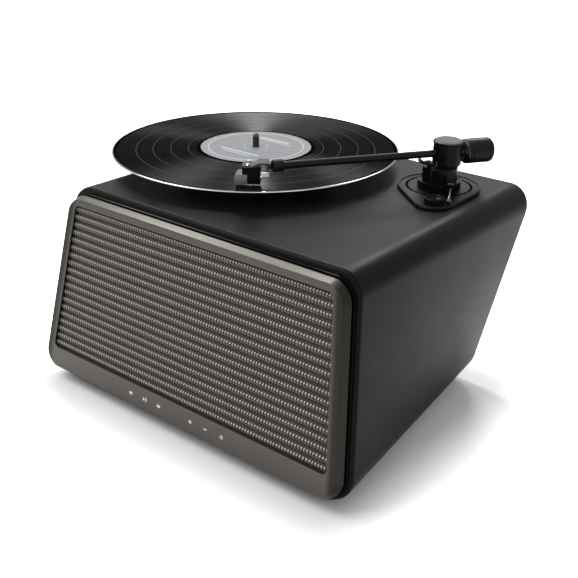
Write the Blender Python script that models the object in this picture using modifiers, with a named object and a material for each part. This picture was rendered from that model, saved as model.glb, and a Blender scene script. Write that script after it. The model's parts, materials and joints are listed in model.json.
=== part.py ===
"""A belt-driven record player with built-in loudspeakers, in a leather-wrapped wedge cabinet.

Lengths are metres and angles degrees. The cabinet frame has X to the right, Y to the rear and
Z up, with zero at the middle of the face's bottom edge, at floor level. The root empty moves that
frame so that the world's origin is under the middle of the whole object.
"""

import math

import bmesh
import bpy
import numpy as np
from mathutils import Matrix, Vector

# Fits and counts
SEAT_GAP = 0.0003
RUN_GAP = 0.0005
OVERRUN = 0.002
WELD = 0.00001
FINE_STEPS = 60
ROUND_STEPS = 28
SMALL_STEPS = 16
CORNER_STEPS = 6
SIDE_STEPS = 6
DEPTH_STEPS = 8
LIP_STEPS = 3
SHARP_ANGLE = 30.0

# Cabinet
FOOT_HEIGHT = 0.008
FOOT_RADIUS = 0.010
FOOT_SHOULDER = 0.0016
FOOT_INSET = 0.040
CABINET_HEIGHT = 0.1921
FACE_TILT = 10.55
FACE_LOW_WIDTH = 0.3728
FACE_HIGH_WIDTH = 0.3284
FACE_HEIGHT = 0.1787
FACE_LIFT = 0.0083
FACE_CORNER = 0.017
FACE_STANDS_OFF = 0.0122
SHELL_MARGIN = 0.0083
SHELL_LIP = 0.0036
SHELL_WALL = 0.011
SHELL_CORNER = 0.0237
REAR_TOP_Y = 0.3372
REAR_BOTTOM_Y = 0.2771
REAR_TOP_WIDTH = 0.3548
REAR_BOTTOM_WIDTH = 0.3124
DECK = FOOT_HEIGHT + CABINET_HEIGHT

# Front frame and grille
FRAME_FLARE = 0.0033
FRAME_RIM_DEPTH = 0.0068
FRAME_DEPTH = 0.0079
FRAME_WALL = 0.0028
FRAME_PLATE = 0.0018
FRAME_EDGE = 0.0006
WINDOW_SIDE_MARGIN = 0.0095
WINDOW_TOP_MARGIN = 0.0067
STRIP_HEIGHT = 0.0209
WINDOW_CORNER = 0.005
GRILLE_RIBS = 19
GRILLE_RIB_HEIGHT = 0.0012
GRILLE_THICKNESS = 0.0020
GRILLE_TUCK = 0.003
TRIM_NECK = 0.0012
TRIM_BEAD_OUT = 0.0052
TOUCH_BOARD_LENGTH = 0.150
TOUCH_BOARD_HEIGHT = 0.0125
TOUCH_BOARD_THICKNESS = 0.0014

# Loudspeakers
BAFFLE_THICKNESS = 0.012
BAFFLE_SETBACK = 0.0045
WOOFER_RADIUS = 0.050
WOOFER_SPREAD = 0.105
WOOFER_DEPTH = 0.046
WOOFER_FLANGE = 0.0025
WOOFER_RIM = 0.0075
WOOFER_SHOULDER = 0.004
BASKET_WALL = 0.0014
BASKET_NECK = 0.020
COIL_RADIUS = 0.012
COIL_DEPTH = 0.008
MAGNET_RADIUS = 0.034
MAGNET_HEIGHT = 0.016
CONE_DEPTH = 0.019
CONE_WALL = 0.0012
SURROUND_WIDTH = 0.006
DUST_CAP_RISE = 0.005
TWEETER_RADIUS = 0.020
TWEETER_RIM = 0.004
TWEETER_SPREAD = 0.024
TWEETER_DEPTH = 0.018
TWEETER_DOME = 0.010
TWEETER_DOME_RISE = 0.004

# Record, platter and drive
RECORD_X = -0.0903
RECORD_Y = 0.2227
RECORD_RADIUS = 0.1505
RECORD_TOP = 0.0156
RECORD_THICKNESS = 0.002
GROOVE_DROP = 0.0003
BEAD_WIDTH = 0.0042
RIM_SHARE = 0.25
LABEL_RADIUS = 0.0584
LABEL_THICKNESS = 0.0002
LABEL_GAP = 0.0001
MAT_THICKNESS = 0.002
PLATTER_RADIUS = 0.080
PLATTER_HEIGHT = 0.0085
PLATTER_WEB = 0.0030
PLATTER_SKIRT = 0.0045
PLATTER_BEVEL = 0.0010
HUB_RADIUS = 0.014
HUB_DROP = 0.0015
SPINDLE_RADIUS = 0.0035
SPINDLE_RISE = 0.0145
SPINDLE_NOSE = 0.0045
DRIVE_RING_RADIUS = 0.055
DRIVE_RING_WALL = 0.003
PULLEY_RADIUS = 0.006
PULLEY_OFFSET = 0.0675
PULLEY_BEARING = -70
PULLEY_FLANGE = 0.0006
BELT_WIDTH = 0.0032
BELT_MARGIN = 0.0008
BELT_THICKNESS = 0.0007
BEARING_RADIUS = 0.009
BEARING_FLANGE = 0.016
BEARING_FLANGE_THICKNESS = 0.0020
BEARING_DEPTH = 0.034
BEARING_FLOOR = 0.003
MOTOR_RADIUS = 0.014
MOTOR_HEIGHT = 0.022
MOTOR_BOSS_RADIUS = 0.0026
MOTOR_SHAFT_RADIUS = 0.0012
MOTOR_EDGE = 0.0015
CHASSIS_THICKNESS = 0.002
CHASSIS_MARGIN = 0.020

# Tonearm tower and base plate
PIVOT_X = 0.1090
PIVOT_Y = 0.2760
PIVOT_HEIGHT = 0.0356
TOWER_X = 0.1054
TOWER_Y = 0.2711
TOWER_RADIUS = 0.0171
TOWER_TOP = 0.0230
TOWER_EDGE = 0.0009
TOWER_STEM = 0.009
SKIRT_RADIUS = 0.0212
SKIRT_TOP = 0.0092
SKIRT_EDGE = 0.0006
RING_RADIUS = 0.0321
RING_WIDTH = 0.0009
BASE_PLATE_RADIUS = 0.0407
BASE_PLATE_THICKNESS = 0.0029
BASE_RIM = 0.0016
BASE_DISH = 0.0009
KNOB_X = 0.1277
KNOB_Y = 0.2247
KNOB_POCKET = 0.0187
KNOB_RADIUS = 0.0096
KNOB_TOP = 0.0077
KNOB_LIP = 0.0016
KNOB_EDGE = 0.0007

# Cueing
LIFT_RADIUS = 0.028
LIFT_FIRST = -140.0
LIFT_LAST = -108.0
LIFT_POST_BEARING = -122.0
LIFT_BAR_WIDTH = 0.0026
LIFT_BAR_THICKNESS = 0.0024
STRAP_SHARE = 0.33
LIFT_TOP = 0.0299
LIFT_POST_RADIUS = 0.0016
LIFT_POST_INSET = 0.0042
LIFT_WELL_DEPTH = 0.012
LEVER_X = 0.1268
LEVER_Y = 0.2561
LEVER_HEIGHT = 0.0118
LEVER_LENGTH = 0.0310
LEVER_DROP = 0.0061
LEVER_BEARING = -62.5
LEVER_RADIUS = 0.0012
LEVER_SHAFT_RADIUS = 0.0018
LEVER_BALL_RADIUS = 0.0026
LEVER_PIN_RADIUS = 0.0012
LEVER_BEND_SHARE = 0.5
LEVER_BEND_DROP_SHARE = 0.25
BRACKET_WIDTH = 0.0052
BRACKET_LENGTH = 0.0090
BRACKET_CHEEK = 0.0015
PIN_SEAT_SHARE = 0.33
REST_BEARING = -90.0
REST_TOP = 0.0340
REST_THICKNESS = 0.0024
REST_FLOOR = 0.0022
REST_HORN = 0.0020

# Gimbal
GIMBAL_RADIUS = 0.0140
GIMBAL_TOP = 0.0490
GIMBAL_EDGE = 0.0010
CAP_RADIUS = 0.0146
CAP_THICKNESS = 0.0028
CAP_BEVEL_WIDTH = 0.0032
CAP_BEVEL_HEIGHT = 0.0016
CAP_SPIGOT_RADIUS = 0.0110
CAP_RECESS = 0.0008
SOCKET_RADIUS = 0.0045
PIVOT_PIN_RADIUS = 0.0022
AXLE_RADIUS = 0.0012
AXLE_INSET = 0.0022
BLOCK_LENGTH = 0.0104
BLOCK_SIDE = 0.0084
SLOT_WIDTH = 0.0116
SLOT_BELOW = 0.0072
SLOT_ABOVE = 0.0066

# Arm, headshell and cartridge
ARM_BEARING = -124.0
ARM_BEND = 0.1760
TUBE_RADIUS = 0.0036
HEAD_OFFSET = 19.6
COLLAR_RADIUS = 0.0060
COLLAR_LENGTH = 0.0100
COLLAR_EDGE = 0.0007
COLLAR_FLOOR = 0.0020
NECK_RADIUS = 0.0032
SHELL_PLATE_WIDTH = 0.0150
SHELL_PLATE_THICKNESS = 0.0018
SHELL_PLATE_START = 0.0036
SHELL_PLATE_BEND = 0.0120
SHELL_PLATE_LOW_BEND = 0.0185
SHELL_PLATE_END = 0.0275
SHELL_PLATE_HIGH = 0.0046
SHELL_PLATE_LOW = 0.0016
CARTRIDGE_START = 0.0108
CARTRIDGE_SPLIT = 0.0227
CARTRIDGE_END = 0.0347
CARTRIDGE_WIDTH = 0.0160
CARTRIDGE_BOTTOM = -0.0156
HOLDER_TOP = -0.0064
HOLDER_EDGE = 0.0012
HOLDER_BOTTOM = -0.0160
STYLUS_AHEAD = 0.0316
STYLUS_CLEAR = 0.0006
CANTILEVER_RADIUS = 0.0003
PIN_RADIUS = 0.0006
PIN_LENGTH = 0.0075
PIN_HEIGHT = -0.0085
PIN_SPACING = 0.0034
SCREW_SPREAD = 0.0052
SCREW_AHEAD = 0.0222
SCREW_RADIUS = 0.0018
SCREW_HEIGHT = 0.0016

# Counterweight
WEIGHT_START = 0.0199
WEIGHT_END = 0.0482
WEIGHT_RADIUS = 0.0122
WEIGHT_DOME = 0.0055
WEIGHT_FLOOR = 0.006
STUB_RADIUS = 0.0034
DIAL_START = 0.0152
DIAL_NECK = 0.0090
DIAL_BEVEL = 0.0030

# Rear panel and sockets
REAR_PANEL_THICKNESS = 0.003
PLATE_LENGTH = 0.112
PLATE_HEIGHT = 0.026
PLATE_THICKNESS = 0.002
PLATE_RISE = 0.042
PLATE_LEDGE = 0.003
SOCKET_SPACING = 0.018
RCA_RADIUS = 0.0042
RCA_FLANGE = 0.0056
RCA_LENGTH = 0.009
RCA_BORE = 0.0016
JACK_RADIUS = 0.0048
JACK_FACE = 0.0012
JACK_DEPTH = 0.012
AUX_BORE = 0.0018
DC_BORE = 0.0028
DC_PIN = 0.0010
SWITCH_LENGTH = 0.019
SWITCH_HEIGHT = 0.013
SWITCH_FRAME = 0.0016
SWITCH_DEPTH = 0.013
ROCKER_ANGLE = 9.0
BOARD_LENGTH = 0.135
BOARD_HEIGHT = 0.075
BOARD_THICKNESS = 0.0016
BOARD_DEPTH = 0.021
BOARD_POST_RADIUS = 0.003
HEATSINK_LENGTH = 0.040
HEATSINK_HEIGHT = 0.018
CAPACITOR_RADIUS = 0.006
CAPACITOR_HEIGHT = 0.014


class Outline:
    """A trapezoid with rounded corners, drawn in the x and y of its own plane."""

    def __init__(self, half_low, half_high, low, high, radius):
        self.half_low = half_low
        self.half_high = half_high
        self.low = low
        self.high = high
        self.radius = radius

    def slope(self):
        return (self.half_low - self.half_high) / (self.high - self.low)

    def half_at(self, height):
        return self.half_low - self.slope() * (height - self.low)

    def grown(self, by):
        slope = self.slope()
        side = by * math.hypot(1, slope)
        return Outline(
            self.half_low + side + slope * by,
            self.half_high + side - slope * by,
            self.low - by,
            self.high + by,
            self.radius + by,
        )

    def points(self, steps=CORNER_STEPS, side_steps=1):
        """Its points, anticlockwise from the bottom right corner, with the sides cut in steps."""
        slope = self.slope()
        side_angle = math.atan(slope)
        corners = []
        for height, first, last in (
            (self.low + self.radius, -math.pi / 2, side_angle),
            (self.high - self.radius, side_angle, math.pi / 2),
        ):
            centre = self.half_at(height) - self.radius * math.hypot(1, slope)
            corners.append(ring_points(self.radius, steps, (centre, height), first, last, False))
        (x0, y0), (x1, y1) = corners[0][-1], corners[1][0]
        shares = [step / side_steps for step in range(1, side_steps)]
        side = [(x0 + (x1 - x0) * share, y0 + (y1 - y0) * share) for share in shares]
        right = corners[0] + side + corners[1]
        return right + [(-x, y) for x, y in reversed(right)]


def ring_points(radius, steps, centre=(0, 0), first=0.0, last=2 * math.pi, closed=True):
    """Points on an arc, anticlockwise. A closed ring leaves out its last point."""
    angles = np.linspace(first, last, steps, endpoint=not closed)
    return [(centre[0] + radius * math.cos(a), centre[1] + radius * math.sin(a)) for a in angles]


def belt_points(first_centre, first_radius, second_centre, second_radius, steps):
    """The outline of a band stretched round two circles, anticlockwise."""
    across = Vector(second_centre) - Vector(first_centre)
    heading = math.atan2(across.y, across.x)
    lean = math.acos((first_radius - second_radius) / across.length)
    far = ring_points(second_radius, steps, second_centre, heading - lean, heading + lean, False)
    near = ring_points(
        first_radius, steps, first_centre, heading + lean, heading - lean + 2 * math.pi, False
    )
    return far + near


def clear_scene():
    for obj in list(bpy.data.objects):
        bpy.data.objects.remove(obj, do_unlink=True)


def new_collection(name):
    collection = bpy.data.collections.new(name)
    bpy.context.scene.collection.children.link(collection)
    return collection


def new_material(name, colour, roughness, metallic=0.0):
    material = bpy.data.materials.new(name)
    material.use_nodes = True
    shader = material.node_tree.nodes["Principled BSDF"]
    shader.inputs["Base Color"].default_value = (*colour, 1)
    shader.inputs["Roughness"].default_value = roughness
    shader.inputs["Metallic"].default_value = metallic
    material.diffuse_color = (*colour, 1)
    return material


def mesh_of(bm, name):
    bmesh.ops.recalc_face_normals(bm, faces=bm.faces)
    mesh = bpy.data.meshes.new(name)
    bm.to_mesh(mesh)
    bm.free()
    return mesh


def box_mesh(name, low, high):
    bm = bmesh.new()
    bmesh.ops.create_cube(bm, size=1)
    size = Vector(high) - Vector(low)
    bmesh.ops.scale(bm, vec=size, verts=bm.verts)
    bmesh.ops.translate(bm, vec=Vector(low) + size / 2, verts=bm.verts)
    return mesh_of(bm, name)


def rod_mesh(name, radius, low, high, steps=ROUND_STEPS, centre=(0, 0), top_radius=None):
    bm = bmesh.new()
    bmesh.ops.create_cone(
        bm,
        cap_ends=True,
        segments=steps,
        radius1=radius,
        radius2=radius if top_radius is None else top_radius,
        depth=high - low,
    )
    bmesh.ops.translate(bm, vec=(centre[0], centre[1], (low + high) / 2), verts=bm.verts)
    return mesh_of(bm, name)


def plate_mesh(name, outlines, low, high):
    """A flat plate between two heights. The first outline is its edge, and any others are holes."""
    curve = bpy.data.curves.new(name, "CURVE")
    curve.dimensions = "2D"
    curve.fill_mode = "BOTH"
    curve.extrude = (high - low) / 2
    for outline in outlines:
        spline = curve.splines.new("POLY")
        spline.points.add(len(outline) - 1)
        for point, (x, y) in zip(spline.points, outline):
            point.co = (x, y, 0, 1)
        spline.use_cyclic_u = True
    drawn = bpy.data.objects.new(name, curve)
    bpy.context.scene.collection.objects.link(drawn)
    graph = bpy.context.evaluated_depsgraph_get()
    mesh = bpy.data.meshes.new_from_object(drawn.evaluated_get(graph))
    bpy.data.objects.remove(drawn)
    bm = bmesh.new()
    bm.from_mesh(mesh)
    bmesh.ops.remove_doubles(bm, verts=bm.verts, dist=WELD)
    bmesh.ops.translate(bm, vec=(0, 0, (low + high) / 2), verts=bm.verts)
    bpy.data.meshes.remove(mesh)
    return mesh_of(bm, name)


def loft_mesh(name, loops, ring):
    """A skin through loops of equally many points. A ring joins the last loop to the first."""
    bm = bmesh.new()
    rows = [[bm.verts.new(point) for point in loop] for loop in loops]
    pairs = list(zip(rows, rows[1:]))
    if ring:
        pairs.append((rows[-1], rows[0]))
    for near, far in pairs:
        for i in range(len(near)):
            j = (i + 1) % len(near)
            bm.faces.new((near[i], near[j], far[j], far[i]))
    if not ring:
        bm.faces.new(rows[0])
        bm.faces.new(rows[-1])
    return mesh_of(bm, name)


class Builder:
    """Makes the named pieces and the cutters, each in its own collection."""

    def __init__(self):
        self.parts = new_collection("turntable")
        self.cutters = new_collection("cutters")
        self.finishes = {
            "leather": new_material("black_leather", (0.018, 0.018, 0.019), 0.42),
            "gunmetal": new_material("brushed_gunmetal", (0.10, 0.093, 0.082), 0.38, 0.85),
            "cloth": new_material("woven_cloth", (0.24, 0.21, 0.17), 0.8),
            "board": new_material("black_board", (0.03, 0.028, 0.026), 0.7),
            "vinyl": new_material("black_vinyl", (0.012, 0.012, 0.012), 0.2),
            "paper": new_material("label_paper", (0.36, 0.38, 0.40), 0.6),
            "alloy": new_material("cast_alloy", (0.30, 0.30, 0.31), 0.4, 1.0),
            "steel": new_material("bright_steel", (0.55, 0.55, 0.56), 0.25, 1.0),
            "rubber": new_material("black_rubber", (0.02, 0.02, 0.02), 0.8),
            "black": new_material("satin_black", (0.012, 0.012, 0.012), 0.35),
            "gloss": new_material("gloss_black", (0.01, 0.01, 0.01), 0.15),
            "silver": new_material("silver_bronze", (0.45, 0.40, 0.35), 0.35, 0.8),
            "circuit": new_material("green_circuit", (0.02, 0.10, 0.05), 0.5),
            "paper_cone": new_material("pulp_cone", (0.035, 0.035, 0.035), 0.85),
        }

    def frame(self, name, parent, place=(0, 0, 0), turn=None):
        """An empty that other pieces are placed in."""
        empty = bpy.data.objects.new(name, None)
        empty.empty_display_size = FOOT_HEIGHT
        self.parts.objects.link(empty)
        empty.parent = parent
        empty.matrix_local = Matrix.Translation(place) @ (turn or Matrix.Identity(4))
        return empty

    def piece(self, name, mesh, finish, parent, place=(0, 0, 0), turn=None):
        """A named piece with its own copy of a finish."""
        obj = bpy.data.objects.new(name, mesh)
        self.parts.objects.link(obj)
        obj.parent = parent
        obj.matrix_local = Matrix.Translation(place) @ (turn or Matrix.Identity(4))
        own = self.finishes[finish].copy()
        own.name = name + "_" + finish
        mesh.materials.clear()
        mesh.materials.append(own)
        mesh.shade_smooth()
        mesh.set_sharp_from_angle(angle=math.radians(SHARP_ANGLE))
        return obj

    def turned(
        self, name, profile, finish, parent, steps=ROUND_STEPS, ring=False, place=(0, 0, 0), turn=None
    ):
        """A profile of (radius, height) points, turned round Z. It runs down its outer side."""
        mesh = bpy.data.meshes.new(name)
        edges = [(i, i + 1) for i in range(len(profile) - 1)]
        if ring:
            edges.append((len(profile) - 1, 0))
        mesh.from_pydata([(radius, 0, height) for radius, height in profile], edges, [])
        obj = self.piece(name, mesh, finish, parent, place, turn)
        screw = obj.modifiers.new("turn", "SCREW")
        screw.axis = "Z"
        screw.angle = 2 * math.pi
        screw.steps = steps
        screw.render_steps = steps
        screw.use_merge_vertices = True
        screw.merge_threshold = WELD
        screw.use_smooth_shade = True
        return obj

    def change(self, obj, mesh, operation, parent=None, place=(0, 0, 0), turn=None):
        """Cuts a helper mesh from a piece, or joins it on, in the frame of the piece's parent."""
        helper = bpy.data.objects.new(obj.name + "_" + mesh.name, mesh)
        self.cutters.objects.link(helper)
        helper.parent = parent or obj.parent
        helper.matrix_local = Matrix.Translation(place) @ (turn or Matrix.Identity(4))
        helper.hide_render = True
        helper.display_type = "WIRE"
        modifier = obj.modifiers.new(mesh.name, "BOOLEAN")
        modifier.operation = operation
        modifier.solver = "EXACT"
        modifier.object = helper
        return helper

    def cut(self, obj, mesh, **where):
        return self.change(obj, mesh, "DIFFERENCE", **where)

    def join(self, obj, mesh, **where):
        return self.change(obj, mesh, "UNION", **where)

    def keep(self, obj, mesh, **where):
        return self.change(obj, mesh, "INTERSECT", **where)


def face_matrix():
    """The face plane: x across, y up the face and z out of it."""
    lean = Matrix.Rotation(math.radians(90 - FACE_TILT), 4, "X")
    return Matrix.Translation((0, 0, FOOT_HEIGHT + FACE_LIFT)) @ lean


def rear_matrix():
    """The rear plane: x to the left as the front is seen, y up the rear and z out of it."""
    up = Vector((0, REAR_TOP_Y - REAR_BOTTOM_Y, CABINET_HEIGHT)).normalized()
    out = Vector((0, up.z, -up.y))
    turn = Matrix((up.cross(out), up, out)).transposed().to_4x4()
    return Matrix.Translation((0, REAR_BOTTOM_Y, FOOT_HEIGHT)) @ turn


def face_outline():
    return Outline(FACE_LOW_WIDTH / 2, FACE_HIGH_WIDTH / 2, 0, FACE_HEIGHT, FACE_CORNER)


def window_outline():
    face = face_outline()
    high = FACE_HEIGHT - WINDOW_TOP_MARGIN
    return Outline(
        face.half_at(STRIP_HEIGHT) - WINDOW_SIDE_MARGIN,
        face.half_at(high) - WINDOW_SIDE_MARGIN,
        STRIP_HEIGHT,
        high,
        WINDOW_CORNER,
    )


def front_section():
    """The cabinet's outline in the plane of its front lip, level with the deck and the bottom."""
    lean = math.radians(FACE_TILT)
    low = (FACE_STANDS_OFF * math.sin(lean) - FACE_LIFT) / math.cos(lean)
    high = low + CABINET_HEIGHT / math.cos(lean)
    grown = face_outline().grown(SHELL_MARGIN)
    return Outline(grown.half_at(low), grown.half_at(high), low, high, SHELL_CORNER)


def rear_section():
    high = math.hypot(REAR_TOP_Y - REAR_BOTTOM_Y, CABINET_HEIGHT)
    return Outline(REAR_BOTTOM_WIDTH / 2, REAR_TOP_WIDTH / 2, 0, high, SHELL_CORNER)


def placed(outline, matrix, height, rise):
    """An outline's points as places in the cabinet frame, moved up its plane by a rise."""
    points = outline.points(CORNER_STEPS, SIDE_STEPS)
    return [matrix @ Vector((x, y + rise, height)) for x, y in points]


def front_loop(inset, depth):
    """The rise keeps the deck and the bottom level behind the leaning lip."""
    rise = depth * math.tan(math.radians(FACE_TILT))
    return placed(front_section().grown(-inset), face_matrix(), -FACE_STANDS_OFF - depth, rise)


def rear_loop(inset, depth):
    """The rear plane's x runs the other way, so its points are taken in reverse."""
    rise = -depth * (REAR_TOP_Y - REAR_BOTTOM_Y) / CABINET_HEIGHT
    return placed(rear_section().grown(-inset), rear_matrix(), -depth, rise)[::-1]


def inner_loop(inset, depth):
    """The cabinet's inner section, in the face plane's own axes, at a depth behind the face."""
    into_face = face_matrix().inverted()
    points = []
    for near, far in zip(front_loop(inset, 0), rear_loop(inset, 0)):
        near, far = into_face @ near, into_face @ far
        share = (near.z + depth) / (near.z - far.z)
        points.append(near.lerp(far, share))
    return points


def flat_loop(outline, height):
    return [(x, y, height) for x, y in outline.points()]


def between(near, far):
    """The loops between two loops, in equal steps, which keep a twisted side smooth."""
    shares = [step / DEPTH_STEPS for step in range(1, DEPTH_STEPS)]
    return [[a.lerp(b, share) for a, b in zip(near, far)] for share in shares]


def lip_steps():
    """Insets and depths of a quarter-round lip, from its face to its outer side."""
    for step in range(LIP_STEPS + 1):
        angle = math.pi / 2 * step / LIP_STEPS
        yield SHELL_LIP * (1 - math.sin(angle)), SHELL_LIP * (1 - math.cos(angle))


def dome(radius, low, rise, steps=4):
    """Points of a domed end, from the axis at the top to its full radius."""
    angles = np.linspace(math.pi / 2, 0, steps)
    return [(radius * math.cos(a) if i else 0, low + rise * math.sin(a)) for i, a in enumerate(angles)]


def build_shell(make, root):
    """The wrapped cabinet: a tube from an upright front section to an undercut rear one."""
    front = [front_loop(inset, depth) for inset, depth in lip_steps()]
    rear = [rear_loop(inset, depth) for inset, depth in reversed(list(lip_steps()))]
    inner_front, inner_rear = front_loop(SHELL_WALL, 0), rear_loop(SHELL_WALL, 0)
    loops = front + between(front[-1], rear[0]) + rear
    loops += [inner_rear] + between(inner_rear, inner_front) + [inner_front]
    shell = make.piece("cabinet_shell", loft_mesh("cabinet_shell", loops, True), "leather", root)
    holes = (
        ("bearing_hole", (RECORD_X, RECORD_Y), BEARING_RADIUS),
        ("pulley_hole", pulley_place(), PULLEY_RADIUS + PULLEY_FLANGE),
        ("tower_hole", (TOWER_X, TOWER_Y), TOWER_STEM),
    )
    for name, centre, radius in holes:
        low = DECK - SHELL_WALL - OVERRUN
        make.cut(shell, rod_mesh(name, radius + RUN_GAP, low, DECK + OVERRUN, SMALL_STEPS, centre))


def build_feet(make, root):
    """Turned rubber feet with a bevelled tread."""
    top = FOOT_HEIGHT - SEAT_GAP
    profile = [
        (0, top),
        (FOOT_RADIUS, top),
        (FOOT_RADIUS, FOOT_SHOULDER),
        (FOOT_RADIUS - FOOT_SHOULDER, 0),
        (0, 0),
    ]
    front = FACE_STANDS_OFF + FOOT_INSET
    rear = REAR_BOTTOM_Y - FOOT_INSET
    half_front = FACE_LOW_WIDTH / 2 - FOOT_INSET
    half_rear = REAR_BOTTOM_WIDTH / 2 - FOOT_INSET
    for name, x, y in (
        ("foot_front_left", -half_front, front),
        ("foot_front_right", half_front, front),
        ("foot_rear_left", -half_rear, rear),
        ("foot_rear_right", half_rear, rear),
    ):
        make.turned(name, profile, "rubber", root, SMALL_STEPS, place=(x, y, 0))


def build_front(make, root):
    """The metal frame with its flared rim, the ribbed grille, the trim ring and the touch board."""
    plane = make.frame("face_plane", root, turn=face_matrix())
    face, window = face_outline(), window_outline()
    flared = face.grown(FRAME_FLARE)
    inside = flared.grown(-FRAME_WALL)
    sections = (
        (face.grown(-FRAME_EDGE), 0),
        (face, -FRAME_EDGE),
        (flared, -FRAME_RIM_DEPTH),
        (flared, -FRAME_DEPTH),
        (inside, -FRAME_DEPTH),
        (face.grown(-FRAME_WALL), -FRAME_PLATE),
        (window, -FRAME_PLATE),
        (window, -FRAME_EDGE),
        (window.grown(FRAME_EDGE), 0),
    )
    loops = [flat_loop(outline, height) for outline, height in sections]
    make.piece("front_frame", loft_mesh("front_frame", loops, True), "gunmetal", plane)
    bead = face.grown(TRIM_BEAD_OUT)
    throat = face.grown(-FRAME_WALL)
    top = -FRAME_DEPTH - SEAT_GAP
    low = -FACE_STANDS_OFF + SEAT_GAP
    sections = (
        (throat, top),
        (inside, top),
        (inside, top - TRIM_NECK),
        (bead, top - TRIM_NECK),
        (bead, low),
        (throat, low),
    )
    loops = [flat_loop(outline, height) for outline, height in sections]
    make.piece("trim_ring", loft_mesh("trim_ring", loops, True), "gloss", plane)
    build_grille(make, plane, window)
    half = TOUCH_BOARD_LENGTH / 2
    board_top = window.low - GRILLE_TUCK - SEAT_GAP
    back = -FRAME_PLATE - SEAT_GAP
    corners = (-half, board_top - TOUCH_BOARD_HEIGHT, back - TOUCH_BOARD_THICKNESS), (half, board_top, back)
    make.piece("touch_board", box_mesh("touch_board", *corners), "circuit", plane)
    return plane


def build_grille(make, plane, window):
    """Cloth drawn over a panel, with rounded ribs that run across it."""
    outline = window.grown(GRILLE_TUCK)
    pitch = (window.high - window.low) / GRILLE_RIBS
    crest = -FRAME_PLATE - SEAT_GAP
    back = crest - 2 * GRILLE_RIB_HEIGHT - GRILLE_THICKNESS
    start = window.low - pitch
    quarters = 4
    wave = []
    for i in range(quarters * (GRILLE_RIBS + 2) + 1):
        rise = math.cos(2 * math.pi * i / quarters) - 1
        wave.append((start + pitch * i / quarters, crest + GRILLE_RIB_HEIGHT * rise))
    wave += [(wave[-1][0], back), (start, back)]
    reach = outline.half_low + OVERRUN
    mesh = plate_mesh("grille_cloth", [wave], -reach, reach)
    mesh.transform(Matrix(((0, 0, 1, 0), (1, 0, 0, 0), (0, 1, 0, 0), (0, 0, 0, 1))))
    grille = make.piece("grille_cloth", mesh, "cloth", plane)
    make.keep(grille, plate_mesh("grille_edge", [outline.points(4)], back - OVERRUN, crest + OVERRUN))


def build_speakers(make, plane):
    """The baffle board with two woofers, whose cones move, and two tweeters."""
    front = -FACE_STANDS_OFF - BAFFLE_SETBACK
    back = front - BAFFLE_THICKNESS
    inset = SHELL_WALL + 2 * SEAT_GAP
    loops = [inner_loop(inset, -front), inner_loop(inset, -back)]
    baffle = make.piece("front_baffle", loft_mesh("front_baffle", loops, False), "board", plane)
    window = window_outline()
    middle = (window.low + window.high) / 2
    for name, x in (("woofer_left", -WOOFER_SPREAD), ("woofer_right", WOOFER_SPREAD)):
        radius = WOOFER_RADIUS - WOOFER_RIM + BASKET_WALL + SEAT_GAP
        make.cut(baffle, rod_mesh(name, radius, back - OVERRUN, front + OVERRUN, ROUND_STEPS, (x, middle)))
        build_woofer(make, plane, name, (x, middle, front + SEAT_GAP))
    for name, x in (("tweeter_left", -TWEETER_SPREAD), ("tweeter_right", TWEETER_SPREAD)):
        radius = TWEETER_RADIUS - TWEETER_RIM + SEAT_GAP
        make.cut(baffle, rod_mesh(name, radius, back - OVERRUN, front + OVERRUN, SMALL_STEPS, (x, middle)))
        build_tweeter(make, plane, name, (x, middle, front + SEAT_GAP))


def build_woofer(make, plane, name, place):
    """A basket with its magnet, and the cone with its surround and coil former inside it."""
    throat = WOOFER_RADIUS - WOOFER_RIM
    magnet_top = MAGNET_HEIGHT - WOOFER_DEPTH
    bore = COIL_RADIUS + RUN_GAP
    coil_low = magnet_top - COIL_DEPTH / 2
    bore_low = magnet_top - COIL_DEPTH
    basket = [
        (0, bore_low),
        (bore, bore_low),
        (bore, magnet_top),
        (BASKET_NECK, magnet_top),
        (throat, -WOOFER_SHOULDER),
        (throat, WOOFER_FLANGE),
        (WOOFER_RADIUS, WOOFER_FLANGE),
        (WOOFER_RADIUS, 0),
        (throat + BASKET_WALL, 0),
        (throat + BASKET_WALL, -WOOFER_SHOULDER),
        (BASKET_NECK + BASKET_WALL, magnet_top),
        (MAGNET_RADIUS, magnet_top),
        (MAGNET_RADIUS, -WOOFER_DEPTH),
        (0, -WOOFER_DEPTH),
    ]
    make.turned(name + "_basket", basket, "black", plane, ROUND_STEPS, place=place)
    rim = throat - RUN_GAP
    roll = rim - SURROUND_WIDTH
    cone = dome(COIL_RADIUS, -CONE_DEPTH, DUST_CAP_RISE) + [
        (roll, -CONE_WALL),
        (roll + SURROUND_WIDTH / 2, CONE_WALL),
        (rim, -CONE_WALL),
        (rim, -2 * CONE_WALL),
        (roll + SURROUND_WIDTH / 2, 0),
        (roll, -2 * CONE_WALL),
        (COIL_RADIUS, -CONE_DEPTH - CONE_WALL),
        (COIL_RADIUS, coil_low),
        (COIL_RADIUS - CONE_WALL, coil_low),
        (COIL_RADIUS - CONE_WALL, -CONE_DEPTH - CONE_WALL),
        (0, -CONE_DEPTH - CONE_WALL),
    ]
    make.turned(name + "_cone", cone, "paper_cone", plane, ROUND_STEPS, place=place)


def build_tweeter(make, plane, name, place):
    """A small driver with a domed middle and its magnet behind."""
    magnet = TWEETER_RADIUS - TWEETER_RIM
    plate = magnet - CONE_WALL
    profile = dome(TWEETER_DOME, 0, TWEETER_DOME_RISE) + [
        (plate, 0),
        (plate, WOOFER_FLANGE),
        (TWEETER_RADIUS, WOOFER_FLANGE),
        (TWEETER_RADIUS, 0),
        (magnet, 0),
        (magnet, -TWEETER_DEPTH),
        (0, -TWEETER_DEPTH),
    ]
    make.turned(name, profile, "black", plane, SMALL_STEPS, place=place)


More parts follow.
